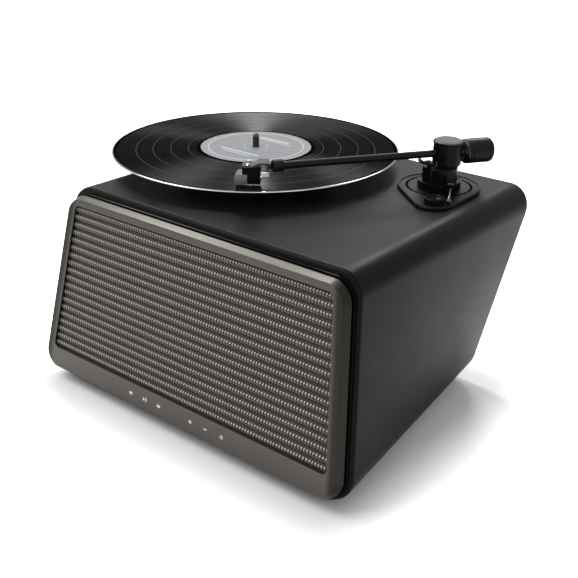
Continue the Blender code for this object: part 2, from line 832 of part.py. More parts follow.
def pulley_place():
    angle = math.radians(PULLEY_BEARING)
    return (RECORD_X + PULLEY_OFFSET * math.cos(angle), RECORD_Y + PULLEY_OFFSET * math.sin(angle))


def build_deck(make, root):
    """Everything under the record: platter, mat, spindle, bearing, belt, pulley and motor."""
    axis = make.frame("platter_axis", root, (RECORD_X, RECORD_Y, DECK))
    mat_top = RECORD_TOP - RECORD_THICKNESS - SEAT_GAP
    mat_low = mat_top - MAT_THICKNESS
    top = mat_low - SEAT_GAP
    low = top - PLATTER_HEIGHT
    web = top - PLATTER_WEB
    skirt = PLATTER_RADIUS - PLATTER_SKIRT
    ring_in = DRIVE_RING_RADIUS - DRIVE_RING_WALL
    hub_low = web - HUB_DROP
    bore = SPINDLE_RADIUS + SEAT_GAP
    platter = [
        (bore, top),
        (PLATTER_RADIUS - PLATTER_BEVEL, top),
        (PLATTER_RADIUS, top - PLATTER_BEVEL),
        (PLATTER_RADIUS, low + PLATTER_BEVEL),
        (PLATTER_RADIUS - PLATTER_BEVEL, low),
        (skirt, low),
        (skirt, web),
        (DRIVE_RING_RADIUS, web),
        (DRIVE_RING_RADIUS, low),
        (ring_in, low),
        (ring_in, web),
        (HUB_RADIUS, web),
        (HUB_RADIUS, hub_low),
        (bore, hub_low),
    ]
    make.turned("platter", platter, "alloy", axis, FINE_STEPS, ring=True)
    mat_radius = PLATTER_RADIUS - PLATTER_BEVEL
    mat = [(bore, mat_top), (mat_radius, mat_top), (mat_radius, mat_low), (bore, mat_low)]
    make.turned("slip_mat", mat, "rubber", axis, FINE_STEPS, ring=True)
    tip = RECORD_TOP + SPINDLE_RISE
    spindle_low = BEARING_FLOOR + SEAT_GAP - BEARING_DEPTH
    spindle = dome(SPINDLE_RADIUS, tip - SPINDLE_NOSE, SPINDLE_NOSE, 5)
    spindle += [(SPINDLE_RADIUS, spindle_low), (0, spindle_low)]
    make.turned("spindle", spindle, "steel", axis, SMALL_STEPS)
    collar_top = hub_low - SEAT_GAP
    flange_top = SEAT_GAP + BEARING_FLANGE_THICKNESS
    bearing = [
        (0, BEARING_FLOOR - BEARING_DEPTH),
        (bore, BEARING_FLOOR - BEARING_DEPTH),
        (bore, collar_top),
        (BEARING_RADIUS, collar_top),
        (BEARING_RADIUS, flange_top),
        (BEARING_FLANGE, flange_top),
        (BEARING_FLANGE, SEAT_GAP),
        (BEARING_RADIUS, SEAT_GAP),
        (BEARING_RADIUS, -BEARING_DEPTH),
        (0, -BEARING_DEPTH),
    ]
    make.turned("bearing_housing", bearing, "steel", axis, SMALL_STEPS)
    build_drive(make, root, axis, low + BELT_MARGIN)
    return axis


def build_drive(make, root, axis, belt_low):
    """The flat belt round the platter's drive ring and the pulley, and the motor under the deck."""
    x, y = pulley_place()
    motor_axis = make.frame("pulley_axis", root, (x, y, DECK))
    belt_top = belt_low + BELT_WIDTH
    offset = (x - RECORD_X, y - RECORD_Y)
    wheel, pulley = DRIVE_RING_RADIUS + SEAT_GAP, PULLEY_RADIUS + SEAT_GAP
    inner = belt_points((0, 0), wheel, offset, pulley, ROUND_STEPS)
    outer = belt_points((0, 0), wheel + BELT_THICKNESS, offset, pulley + BELT_THICKNESS, ROUND_STEPS)
    sections = ((inner, belt_low), (outer, belt_low), (outer, belt_top), (inner, belt_top))
    loops = [[(px, py, height) for px, py in outline] for outline, height in sections]
    make.piece("drive_belt", loft_mesh("drive_belt", loops, True), "rubber", axis)
    flange = PULLEY_RADIUS + PULLEY_FLANGE
    bore = MOTOR_SHAFT_RADIUS + SEAT_GAP
    pulley_top = belt_top + SEAT_GAP + PULLEY_FLANGE
    pulley_low = belt_low - SEAT_GAP - PULLEY_FLANGE
    profile = [
        (bore, pulley_top),
        (flange, pulley_top),
        (flange, pulley_top - PULLEY_FLANGE),
        (PULLEY_RADIUS, pulley_top - PULLEY_FLANGE),
        (PULLEY_RADIUS, pulley_low + PULLEY_FLANGE),
        (flange, pulley_low + PULLEY_FLANGE),
        (flange, pulley_low),
        (bore, pulley_low),
    ]
    make.turned("motor_pulley", profile, "steel", motor_axis, SMALL_STEPS, ring=True)
    chassis_top = -SHELL_WALL - SEAT_GAP
    chassis_low = chassis_top - CHASSIS_THICKNESS
    motor_top = chassis_low - SEAT_GAP
    motor_low = motor_top - MOTOR_HEIGHT
    motor = [
        (0, belt_top),
        (MOTOR_SHAFT_RADIUS, belt_top),
        (MOTOR_SHAFT_RADIUS, motor_top + CHASSIS_THICKNESS),
        (MOTOR_BOSS_RADIUS, motor_top + CHASSIS_THICKNESS),
        (MOTOR_BOSS_RADIUS, motor_top),
        (MOTOR_RADIUS - MOTOR_EDGE, motor_top),
        (MOTOR_RADIUS, motor_top - MOTOR_EDGE),
        (MOTOR_RADIUS, motor_low),
        (0, motor_low),
    ]
    make.turned("motor", motor, "steel", motor_axis, SMALL_STEPS)
    build_chassis(make, root, chassis_low, chassis_top)


def build_chassis(make, root, low, high):
    """The steel plate under the deck that carries the bearing, the motor and the arm's tower."""
    plane = make.frame("chassis_plane", root, (0, 0, DECK))
    motor_x, motor_y = pulley_place()
    corners = (
        (RECORD_X - BEARING_RADIUS - CHASSIS_MARGIN, motor_y - CHASSIS_MARGIN, low),
        (TOWER_X + TOWER_STEM + CHASSIS_MARGIN, TOWER_Y + TOWER_STEM + CHASSIS_MARGIN, high),
    )
    chassis = make.piece("deck_chassis", box_mesh("deck_chassis", *corners), "steel", plane)
    for name, centre, radius in (
        ("bearing", (RECORD_X, RECORD_Y), BEARING_RADIUS),
        ("motor", (motor_x, motor_y), MOTOR_BOSS_RADIUS),
        ("tower", (TOWER_X, TOWER_Y), TOWER_STEM),
    ):
        hole = rod_mesh(name, radius + SEAT_GAP, low - OVERRUN, high + OVERRUN, SMALL_STEPS, centre)
        make.cut(chassis, hole)


def build_record(make, axis):
    """A twelve-inch record: beaded edge, groove field, raised middle and its paper label."""
    top, low = RECORD_TOP, RECORD_TOP - RECORD_THICKNESS
    bore = SPINDLE_RADIUS + SEAT_GAP
    seat = top - LABEL_THICKNESS - LABEL_GAP
    middle = LABEL_RADIUS + LABEL_GAP
    groove = RECORD_RADIUS - BEAD_WIDTH
    edge = RECORD_THICKNESS / 2
    record = [
        (bore, seat),
        (middle, seat),
        (middle, top),
        (middle + edge, top - GROOVE_DROP),
        (groove, top - GROOVE_DROP),
        (groove + BEAD_WIDTH / 2, top),
        (RECORD_RADIUS - edge / 2, top - edge * RIM_SHARE),
        (RECORD_RADIUS, top - edge),
        (RECORD_RADIUS - edge / 2, low + edge * RIM_SHARE),
        (groove + BEAD_WIDTH / 2, low),
        (groove, low + GROOVE_DROP),
        (middle + edge, low + GROOVE_DROP),
        (middle, low),
        (bore, low),
    ]
    make.turned("record_disc", record, "vinyl", axis, FINE_STEPS, ring=True)
    label_low = top - LABEL_THICKNESS
    label = [(bore, top), (LABEL_RADIUS, top), (LABEL_RADIUS, label_low), (bore, label_low)]
    make.turned("record_label", label, "paper", axis, FINE_STEPS, ring=True)


def pear_outline(inset):
    """The base plate's outline: a band round the tower's circle and the knob's."""
    knob = (KNOB_X - TOWER_X, KNOB_Y - TOWER_Y)
    return belt_points((0, 0), BASE_PLATE_RADIUS - inset, knob, KNOB_POCKET - inset, SMALL_STEPS)


def build_tower(make, root):
    """The arm's base plate, its fixed tower, the anti-skating knob and the cueing parts."""
    tower = make.frame("tower_axis", root, (TOWER_X, TOWER_Y, DECK))
    plate_top = SEAT_GAP + BASE_PLATE_THICKNESS
    dish = plate_top - BASE_DISH
    sections = (
        (0, SEAT_GAP),
        (0, dish),
        (BASE_DISH, plate_top),
        (BASE_RIM, plate_top),
        (BASE_RIM + BASE_DISH, dish),
    )
    loops = [[(x, y, height) for x, y in pear_outline(inset)] for inset, height in sections]
    plate = make.piece("arm_base_plate", loft_mesh("arm_base_plate", loops, False), "black", tower)
    ring = [ring_points(RING_RADIUS - inset, ROUND_STEPS) for inset in (0, RING_WIDTH)]
    make.cut(plate, plate_mesh("ring_groove", ring, dish - RING_WIDTH / 2, dish + OVERRUN))
    stem_hole = rod_mesh("stem_hole", TOWER_STEM + SEAT_GAP, -OVERRUN, plate_top + OVERRUN, SMALL_STEPS)
    make.cut(plate, stem_hole)
    foot = dish + SEAT_GAP
    stem_low = -SHELL_WALL - CHASSIS_THICKNESS
    profile = [
        (0, TOWER_TOP),
        (TOWER_RADIUS - TOWER_EDGE, TOWER_TOP),
        (TOWER_RADIUS, TOWER_TOP - TOWER_EDGE),
        (TOWER_RADIUS, SKIRT_TOP - SKIRT_EDGE),
        (SKIRT_RADIUS - 2 * SKIRT_EDGE, SKIRT_TOP - SKIRT_EDGE),
        (SKIRT_RADIUS - 2 * SKIRT_EDGE, SKIRT_TOP),
        (SKIRT_RADIUS - SKIRT_EDGE, SKIRT_TOP),
        (SKIRT_RADIUS, SKIRT_TOP - SKIRT_EDGE),
        (SKIRT_RADIUS, foot),
        (TOWER_STEM, foot),
        (TOWER_STEM, stem_low),
        (0, stem_low),
    ]
    housing = make.turned("tower_housing", profile, "black", tower, ROUND_STEPS)
    pivot = Vector((PIVOT_X - TOWER_X, PIVOT_Y - TOWER_Y))
    socket = rod_mesh(
        "pivot_socket", SOCKET_RADIUS + SEAT_GAP, SKIRT_TOP, TOWER_TOP + OVERRUN, SMALL_STEPS, pivot
    )
    make.cut(housing, socket)
    build_knob(make, root, foot)
    build_lift(make, root, housing, pivot)
    build_lever(make, root, dish)
    build_rest(make, root, foot)


def build_knob(make, root, low):
    """The anti-skating knob: a drum with a raised lip round its top."""
    axis = make.frame("anti_skate_axis", root, (KNOB_X, KNOB_Y, DECK))
    profile = [
        (0, KNOB_TOP - KNOB_EDGE),
        (KNOB_RADIUS - KNOB_LIP - KNOB_EDGE, KNOB_TOP - KNOB_EDGE),
        (KNOB_RADIUS - KNOB_LIP, KNOB_TOP),
        (KNOB_RADIUS - KNOB_EDGE, KNOB_TOP),
        (KNOB_RADIUS, KNOB_TOP - KNOB_EDGE),
        (KNOB_RADIUS, low),
        (0, low),
    ]
    make.turned("anti_skate_knob", profile, "black", axis, ROUND_STEPS)


def polar(radius, bearing):
    angle = math.radians(bearing)
    return Vector((radius * math.cos(angle), radius * math.sin(angle)))


def build_lift(make, root, housing, pivot):
    """The curved lift bar under the arm, on a post that slides in the tower."""
    axis = make.frame("lift_axis", root, (PIVOT_X, PIVOT_Y, DECK))
    arcs = []
    for radius, first, last in (
        (LIFT_RADIUS - LIFT_BAR_WIDTH, LIFT_FIRST, LIFT_LAST),
        (LIFT_RADIUS, LIFT_LAST, LIFT_FIRST),
    ):
        arcs += ring_points(radius, SMALL_STEPS // 2, (0, 0), math.radians(first), math.radians(last), False)
    low = LIFT_TOP - LIFT_BAR_THICKNESS
    bar = make.piece("lift_bar", plate_mesh("lift_bar", [arcs], low, LIFT_TOP), "black", axis)
    post = polar(TOWER_RADIUS - LIFT_POST_INSET, LIFT_POST_BEARING) - pivot
    middle = polar(LIFT_RADIUS - LIFT_BAR_WIDTH / 2, LIFT_POST_BEARING)
    along = (middle - post).normalized() * LIFT_POST_RADIUS
    side = Vector((-along.y, along.x))
    strap = [post - along - side, middle - side, middle + side, post - along + side]
    inset = LIFT_BAR_THICKNESS * STRAP_SHARE
    make.join(bar, plate_mesh("strap", [strap], low + inset, LIFT_TOP - inset))
    well_low = TOWER_TOP - LIFT_WELL_DEPTH
    foot = well_low + SEAT_GAP
    post_top = LIFT_TOP - LIFT_BAR_THICKNESS / 2
    make.join(bar, rod_mesh("post", LIFT_POST_RADIUS, foot, post_top, SMALL_STEPS, post))
    well = rod_mesh(
        "lift_well", LIFT_POST_RADIUS + SEAT_GAP, well_low, TOWER_TOP + OVERRUN, SMALL_STEPS, post + pivot
    )
    make.cut(housing, well)


def build_lever(make, root, dish):
    """The cueing lever: a cross shaft between a bracket's cheeks, a bent arm and a ball."""
    turn = Matrix.Rotation(math.radians(LEVER_BEARING), 4, "Z")
    axis = make.frame("cue_lever_axis", root, (LEVER_X, LEVER_Y, DECK + LEVER_HEIGHT), turn)
    drop = LEVER_HEIGHT - dish - SEAT_GAP
    half, reach = BRACKET_WIDTH / 2, BRACKET_LENGTH / 2
    cheek_top = LEVER_SHAFT_RADIUS + BRACKET_CHEEK
    bracket = box_mesh("lever_bracket", (-half, -reach, -drop), (half, reach, cheek_top))
    bracket = make.piece("lever_bracket", bracket, "black", axis)
    slot = reach - BRACKET_CHEEK
    slot_low = -drop + BRACKET_CHEEK
    corners = (-half - OVERRUN, -slot, slot_low), (half + OVERRUN, slot, cheek_top + OVERRUN)
    make.cut(bracket, box_mesh("lever_slot", *corners))
    quarter = Matrix.Rotation(math.pi / 2, 4, "X")
    shaft_reach = reach - BRACKET_CHEEK * PIN_SEAT_SHARE
    bore = rod_mesh("shaft_bore", LEVER_PIN_RADIUS + SEAT_GAP, -shaft_reach, shaft_reach, SMALL_STEPS)
    make.cut(bracket, bore, turn=quarter)
    barrel = rod_mesh("cue_lever", LEVER_SHAFT_RADIUS, SEAT_GAP - slot, slot - SEAT_GAP, SMALL_STEPS)
    barrel.transform(quarter)
    lever = make.piece("cue_lever", barrel, "steel", axis)
    pin_reach = shaft_reach - SEAT_GAP
    pin = rod_mesh("lever_pin", LEVER_PIN_RADIUS, -pin_reach, pin_reach, SMALL_STEPS)
    make.join(lever, pin, turn=quarter)
    bend = (LEVER_LENGTH * LEVER_BEND_SHARE, 0, -LEVER_DROP * LEVER_BEND_DROP_SHARE)
    path = [(0, 0, 0), bend, (LEVER_LENGTH, 0, -LEVER_DROP)]
    make.join(lever, wire_mesh("lever_arm", path, LEVER_RADIUS))
    bm = bmesh.new()
    bmesh.ops.create_uvsphere(bm, u_segments=12, v_segments=8, radius=LEVER_BALL_RADIUS)
    bmesh.ops.translate(bm, vec=path[-1], verts=bm.verts)
    make.join(lever, mesh_of(bm, "lever_ball"))


def build_rest(make, root, foot):
    """The arm rest: a post on the base plate whose ledge ends in an outer horn."""
    turn = Matrix.Rotation(math.radians(REST_BEARING), 4, "Z")
    axis = make.frame("rest_axis", root, (PIVOT_X, PIVOT_Y, DECK), turn)
    half = TUBE_RADIUS + SEAT_GAP + REST_HORN
    cradle = PIVOT_HEIGHT - TUBE_RADIUS - RUN_GAP
    low = cradle - REST_FLOOR
    near, far = LIFT_RADIUS, LIFT_RADIUS + REST_THICKNESS
    rest = box_mesh("arm_rest", (near, -half, low), (far, half, REST_TOP))
    rest = make.piece("arm_rest", rest, "black", axis)
    mouth = TUBE_RADIUS + SEAT_GAP
    corners = (near - OVERRUN, -half - OVERRUN, cradle), (far + OVERRUN, mouth, REST_TOP + OVERRUN)
    make.cut(rest, box_mesh("ledge", *corners))
    middle = (near + far) / 2
    post = rod_mesh("rest_post", REST_THICKNESS / 2, foot, low + REST_FLOOR / 2, SMALL_STEPS, (middle, 0))
    make.join(rest, post)


def arm_frames(make, root):
    """Nested frames: swing about Z, tilt about the cross axle, and the head past the bend."""
    place = (PIVOT_X, PIVOT_Y, DECK + PIVOT_HEIGHT)
    swing = make.frame("arm_swing_axis", root, place, Matrix.Rotation(math.radians(ARM_BEARING), 4, "Z"))
    tilt = make.frame("arm_tilt_axis", swing)
    inward = Matrix.Rotation(math.radians(-HEAD_OFFSET), 4, "Z")
    head = make.frame("head_axis", tilt, (ARM_BEND, 0, 0), inward)
    return swing, tilt, head


def build_gimbal(make, swing, tilt):
    """The slotted housing that swings, its bevelled cap, the pivot and the cross axle with its block."""
    low = TOWER_TOP - PIVOT_HEIGHT + 2 * RUN_GAP
    cap_top = GIMBAL_TOP - PIVOT_HEIGHT
    top = cap_top - CAP_THICKNESS - SEAT_GAP
    recess = top - CAP_RECESS
    profile = [
        (0, recess),
        (CAP_SPIGOT_RADIUS + SEAT_GAP, recess),
        (CAP_SPIGOT_RADIUS + SEAT_GAP, top),
        (GIMBAL_RADIUS - GIMBAL_EDGE, top),
        (GIMBAL_RADIUS, top - GIMBAL_EDGE),
        (GIMBAL_RADIUS, low + GIMBAL_EDGE),
        (GIMBAL_RADIUS - GIMBAL_EDGE, low),
        (0, low),
    ]
    housing = make.turned("gimbal_housing", profile, "black", swing, ROUND_STEPS)
    reach = GIMBAL_RADIUS + OVERRUN
    half = SLOT_WIDTH / 2
    make.cut(housing, box_mesh("tube_slot", (-reach, -half, -SLOT_BELOW), (reach, half, SLOT_ABOVE)))
    quarter = Matrix.Rotation(math.pi / 2, 4, "X")
    bore_reach = GIMBAL_RADIUS - AXLE_INSET
    bore = rod_mesh("axle_bore", AXLE_RADIUS + SEAT_GAP, -bore_reach, bore_reach, SMALL_STEPS)
    make.cut(housing, bore, turn=quarter)
    pin_bore = rod_mesh(
        "pivot_bore", PIVOT_PIN_RADIUS + SEAT_GAP, low - OVERRUN, OVERRUN - SLOT_BELOW, SMALL_STEPS
    )
    make.cut(housing, pin_bore)
    rim_low = top + SEAT_GAP
    spigot_low = recess + SEAT_GAP
    cap = [
        (0, cap_top),
        (CAP_RADIUS - CAP_BEVEL_WIDTH, cap_top),
        (CAP_RADIUS, cap_top - CAP_BEVEL_HEIGHT),
        (CAP_RADIUS, rim_low),
        (CAP_SPIGOT_RADIUS, rim_low),
        (CAP_SPIGOT_RADIUS, spigot_low),
        (0, spigot_low),
    ]
    make.turned("gimbal_cap", cap, "gunmetal", swing, ROUND_STEPS)
    shoulder = low - SEAT_GAP
    pivot_low = SKIRT_TOP - PIVOT_HEIGHT + SEAT_GAP
    pivot = [
        (0, -SLOT_BELOW),
        (PIVOT_PIN_RADIUS, -SLOT_BELOW),
        (PIVOT_PIN_RADIUS, shoulder),
        (SOCKET_RADIUS, shoulder),
        (SOCKET_RADIUS, pivot_low),
        (0, pivot_low),
    ]
    make.turned("swing_pivot", pivot, "steel", swing, SMALL_STEPS)
    axle_reach = bore_reach - SEAT_GAP
    axle = rod_mesh("tilt_axle", AXLE_RADIUS, -axle_reach, axle_reach, SMALL_STEPS)
    axle.transform(quarter)
    make.piece("tilt_axle", axle, "steel", swing)
    corner = Vector((BLOCK_LENGTH, BLOCK_SIDE, BLOCK_SIDE)) / 2
    block = make.piece("tilt_block", box_mesh("tilt_block", -corner, corner), "steel", tilt)
    bore = rod_mesh("block_bore", AXLE_RADIUS + SEAT_GAP, -GIMBAL_RADIUS, GIMBAL_RADIUS, SMALL_STEPS)
    make.cut(block, bore, turn=quarter)


def build_arm(make, tilt):
    """The straight tube, the threaded stub, the counterweight and its numbered dial."""
    start = BLOCK_LENGTH / 2 + SEAT_GAP
    along = Matrix.Rotation(math.pi / 2, 4, "Y")
    back = Matrix.Rotation(-math.pi / 2, 4, "Y")
    tube_end = ARM_BEND - COLLAR_FLOOR - SEAT_GAP
    tube = rod_mesh("arm_tube", TUBE_RADIUS, start, tube_end, SMALL_STEPS)
    tube.transform(along)
    make.piece("arm_tube", tube, "black", tilt)
    floor = WEIGHT_END - WEIGHT_FLOOR
    stub = rod_mesh("counterweight_stub", STUB_RADIUS, start, floor - 2 * RUN_GAP, SMALL_STEPS)
    stub.transform(back)
    make.piece("counterweight_stub", stub, "steel", tilt)
    bore = STUB_RADIUS + SEAT_GAP
    weight = dome(WEIGHT_RADIUS, WEIGHT_END - WEIGHT_DOME, WEIGHT_DOME, 5) + [
        (WEIGHT_RADIUS, WEIGHT_START),
        (bore, WEIGHT_START),
        (bore, floor),
        (0, floor),
    ]
    make.turned("counterweight", weight, "black", tilt, ROUND_STEPS, turn=back)
    dial_end = WEIGHT_START - SEAT_GAP
    dial = [
        (bore, dial_end),
        (WEIGHT_RADIUS, dial_end),
        (WEIGHT_RADIUS, dial_end - DIAL_BEVEL / 2),
        (DIAL_NECK, DIAL_START),
        (bore, DIAL_START),
    ]
    make.turned("tracking_dial", dial, "gunmetal", tilt, ROUND_STEPS, ring=True, turn=back)


def build_head(make, tilt, head):
    """The clamp collar, the bent headshell, its screws, the cartridge, its pins and the stylus."""
    along = Matrix.Rotation(math.pi / 2, 4, "Y")
    end = ARM_BEND
    start = end - COLLAR_LENGTH
    inside = TUBE_RADIUS + SEAT_GAP
    collar = [
        (0, end),
        (COLLAR_RADIUS - COLLAR_EDGE, end),
        (COLLAR_RADIUS, end - COLLAR_EDGE),
        (COLLAR_RADIUS, start + COLLAR_EDGE),
        (COLLAR_RADIUS - COLLAR_EDGE, start),
        (inside, start),
        (inside, end - COLLAR_FLOOR),
        (0, end - COLLAR_FLOOR),
    ]
    make.turned("headshell_collar", collar, "black", tilt, SMALL_STEPS, turn=along)
    build_headshell(make, head, along)
    build_cartridge(make, head)


def build_headshell(make, head, along):
    """A bent plate on a short neck, drawn as its side outline."""
    thick = SHELL_PLATE_THICKNESS
    high, low = SHELL_PLATE_HIGH, SHELL_PLATE_LOW
    outline = [
        (SHELL_PLATE_START, high),
        (SHELL_PLATE_BEND, high),
        (SHELL_PLATE_LOW_BEND, low),
        (SHELL_PLATE_END, low),
        (SHELL_PLATE_END, low - thick),
        (SHELL_PLATE_LOW_BEND - thick / 2, low - thick),
        (SHELL_PLATE_BEND - thick / 2, high - thick),
        (SHELL_PLATE_START + thick, high - thick),
        (SHELL_PLATE_START + thick, -NECK_RADIUS),
        (SHELL_PLATE_START, -NECK_RADIUS),
    ]
    half = SHELL_PLATE_WIDTH / 2
    plate = plate_mesh("headshell", [outline], -half, half)
    plate.transform(Matrix.Rotation(math.pi / 2, 4, "X"))
    shell = make.piece("headshell", plate, "silver", head)
    swing_out = COLLAR_RADIUS * math.tan(math.radians(HEAD_OFFSET))
    neck = rod_mesh("neck", NECK_RADIUS, swing_out / 2 + SEAT_GAP, SHELL_PLATE_START + thick / 2, SMALL_STEPS)
    neck.transform(along)
    make.join(shell, neck)
    for side in (-1, 1):
        place = (SCREW_AHEAD, side * SCREW_SPREAD)
        name = "screw_left" if side < 0 else "screw_right"
        head_low = low + SEAT_GAP
        bore, bottom = SCREW_RADIUS / 2 + SEAT_GAP, low - thick - OVERRUN
        make.cut(shell, rod_mesh("hole_" + name, bore, bottom, low + OVERRUN, SMALL_STEPS // 2, place))
        profile = [
            (0, head_low + SCREW_HEIGHT),
            (SCREW_RADIUS, head_low + SCREW_HEIGHT),
            (SCREW_RADIUS, head_low),
            (SCREW_RADIUS / 2, head_low),
            (SCREW_RADIUS / 2, low - thick),
            (0, low - thick),
        ]
        make.turned("cartridge_" + name, profile, "steel", head, SMALL_STEPS // 2, place=(*place, 0))


def build_cartridge(make, head):
    """The black body, the bronze stylus holder under its brow, the pins, cantilever and stylus."""
    top = SHELL_PLATE_LOW - SHELL_PLATE_THICKNESS - SEAT_GAP
    half = CARTRIDGE_WIDTH / 2
    split = CARTRIDGE_SPLIT - SEAT_GAP
    brow = HOLDER_TOP + SEAT_GAP
    side = [
        (CARTRIDGE_START, CARTRIDGE_BOTTOM),
        (split, CARTRIDGE_BOTTOM),
        (split, brow),
        (SHELL_PLATE_END, brow),
        (SHELL_PLATE_END, top),
        (CARTRIDGE_START, top),
    ]
    body = plate_mesh("cartridge_body", [side], -half, half)
    body.transform(Matrix.Rotation(math.pi / 2, 4, "X"))
    body = make.piece("cartridge_body", body, "black", head)
    edge = HOLDER_EDGE
    outline = [
        (CARTRIDGE_SPLIT, HOLDER_TOP),
        (CARTRIDGE_END - 2 * edge, HOLDER_TOP),
        (CARTRIDGE_END, HOLDER_TOP - 2 * edge),
        (CARTRIDGE_END, HOLDER_BOTTOM + edge),
        (CARTRIDGE_END - edge, HOLDER_BOTTOM),
        (CARTRIDGE_SPLIT, HOLDER_BOTTOM),
    ]
    holder = plate_mesh("stylus_holder", [outline], -half, half)
    holder.transform(Matrix.Rotation(math.pi / 2, 4, "X"))
    holder = make.piece("stylus_holder", holder, "silver", head)
    record_below = PIVOT_HEIGHT - RECORD_TOP
    tip = STYLUS_CLEAR - record_below
    root_x = CARTRIDGE_SPLIT + 2 * edge
    root_z = HOLDER_BOTTOM + edge
    slot = box_mesh(
        "stylus_slot",
        (root_x, -edge, HOLDER_BOTTOM - OVERRUN),
        (CARTRIDGE_END - 2 * edge, edge, root_z + edge),
    )
    make.cut(holder, slot)
    path = [
        (root_x + SEAT_GAP, 0, root_z),
        (STYLUS_AHEAD, 0, tip + CANTILEVER_RADIUS * 4),
        (STYLUS_AHEAD + CANTILEVER_RADIUS, 0, tip + CANTILEVER_RADIUS * 4),
    ]
    wire = wire_mesh("cantilever", path, CANTILEVER_RADIUS)
    cantilever = make.piece("cantilever", wire, "steel", head)
    point = rod_mesh(
        "stylus_point",
        CANTILEVER_RADIUS / 4,
        tip,
        tip + CANTILEVER_RADIUS * 4,
        SMALL_STEPS // 2,
        (STYLUS_AHEAD, 0),
        CANTILEVER_RADIUS,
    )
    make.join(cantilever, point)
    pins = box_mesh(
        "contact_pins",
        (CARTRIDGE_START - SEAT_GAP - PIN_RADIUS, -2 * PIN_SPACING, PIN_HEIGHT - 2 * PIN_RADIUS),
        (CARTRIDGE_START - SEAT_GAP, 2 * PIN_SPACING, PIN_HEIGHT + 2 * PIN_RADIUS),
    )
    pins = make.piece("contact_pins", pins, "silver", head)
    first = CARTRIDGE_START - PIN_LENGTH
    for i in range(4):
        side = (i - 3 / 2) * PIN_SPACING
        pin = rod_mesh(f"pin_{i}", PIN_RADIUS, first, CARTRIDGE_START - 2 * SEAT_GAP, SMALL_STEPS // 2)
        pin.transform(Matrix.Translation((0, side, PIN_HEIGHT)) @ Matrix.Rotation(math.pi / 2, 4, "Y"))
        make.join(pins, pin)


def wire_mesh(name, points, radius):
    """A round wire along points, as a welded mesh."""
    curve = bpy.data.curves.new(name, "CURVE")
    curve.dimensions = "3D"
    curve.bevel_depth = radius
    curve.bevel_resolution = 2
    curve.use_fill_caps = True
    spline = curve.splines.new("POLY")
    spline.points.add(len(points) - 1)
    for point, place in zip(spline.points, points):
        point.co = (*place, 1)
    drawn = bpy.data.objects.new(name, curve)
    bpy.context.scene.collection.objects.link(drawn)
    graph = bpy.context.evaluated_depsgraph_get()
    mesh = bpy.data.meshes.new_from_object(drawn.evaluated_get(graph))
    bpy.data.objects.remove(drawn)
    bm = bmesh.new()
    bm.from_mesh(mesh)
    bmesh.ops.remove_doubles(bm, verts=bm.verts, dist=WELD)
    bpy.data.meshes.remove(mesh)
    return mesh_of(bm, name)


def build_rear(make, root):
    """The rear panel with its connector plate, sockets, switch and the amplifier board inside."""
    plane = make.frame("rear_plane", root, turn=rear_matrix())
    inset = SHELL_WALL + SEAT_GAP
    into_rear = rear_matrix().inverted()
    loops = []
    for depth in (0, REAR_PANEL_THICKNESS):
        loop = []
        for near, far in zip(front_loop(inset, 0), rear_loop(inset, 0)):
            near, far = into_rear @ near, into_rear @ far
            share = (far.z + depth) / (far.z - near.z)
            loop.append(far.lerp(near, share))
        loops.append(loop)
    panel = make.piece("rear_panel", loft_mesh("rear_panel", loops, False), "board", plane)
    half_length, half_height = PLATE_LENGTH / 2, PLATE_HEIGHT / 2
    window = box_mesh(
        "connector_window",
        (PLATE_LEDGE - half_length, PLATE_RISE - half_height + PLATE_LEDGE, -REAR_PANEL_THICKNESS - OVERRUN),
        (half_length - PLATE_LEDGE, PLATE_RISE + half_height - PLATE_LEDGE, OVERRUN),
    )
    make.cut(panel, window)
    plate_low = SEAT_GAP
    plate_top = SEAT_GAP + PLATE_THICKNESS
    plate = box_mesh(
        "connector_plate",
        (-half_length, PLATE_RISE - half_height, plate_low),
        (half_length, PLATE_RISE + half_height, plate_top),
    )
    plate = make.piece("connector_plate", plate, "black", plane)
    face = plate_top + SEAT_GAP
    sockets = (
        ("rca_left_socket", -2, rca_profile(face), RCA_RADIUS),
        ("rca_right_socket", -1, rca_profile(face), RCA_RADIUS),
        ("aux_socket", 0, jack_profile(face, AUX_BORE, 0), JACK_RADIUS),
        ("power_inlet", 1, jack_profile(face, DC_BORE, DC_PIN), JACK_RADIUS),
    )
    for name, order, profile, radius in sockets:
        x = order * SOCKET_SPACING
        low, high = plate_low - OVERRUN, plate_top + OVERRUN
        make.cut(plate, rod_mesh("hole_" + name, radius + SEAT_GAP, low, high, SMALL_STEPS, (x, PLATE_RISE)))
        finish = "steel" if "rca" in name else "black"
        make.turned(name, profile, finish, plane, SMALL_STEPS, place=(x, PLATE_RISE, 0))
    build_switch(make, plane, plate, plate_low, plate_top)
    build_board(make, plane, panel)


def rca_profile(face):
    """A phono socket: barrel outside, flange on the plate and a short body behind it."""
    return [
        (0, face),
        (RCA_BORE, face),
        (RCA_BORE, face + RCA_LENGTH),
        (RCA_RADIUS, face + RCA_LENGTH),
        (RCA_RADIUS, face + RCA_BORE),
        (RCA_FLANGE, face + RCA_BORE),
        (RCA_FLANGE, face),
        (RCA_RADIUS, face),
        (RCA_RADIUS, face - JACK_DEPTH),
        (0, face - JACK_DEPTH),
    ]


def jack_profile(face, bore, pin):
    """A bored socket with a thin flange on the plate. A power inlet has a centre pin."""
    floor = face - JACK_DEPTH + JACK_FACE
    inside = [(0, floor)]
    if pin:
        inside = [(0, face), (pin, face), (pin, floor)]
    return inside + [
        (bore, floor),
        (bore, face + JACK_FACE),
        (JACK_RADIUS + JACK_FACE, face + JACK_FACE),
        (JACK_RADIUS + JACK_FACE, face),
        (JACK_RADIUS, face),
        (JACK_RADIUS, face - JACK_DEPTH),
        (0, face - JACK_DEPTH),
    ]


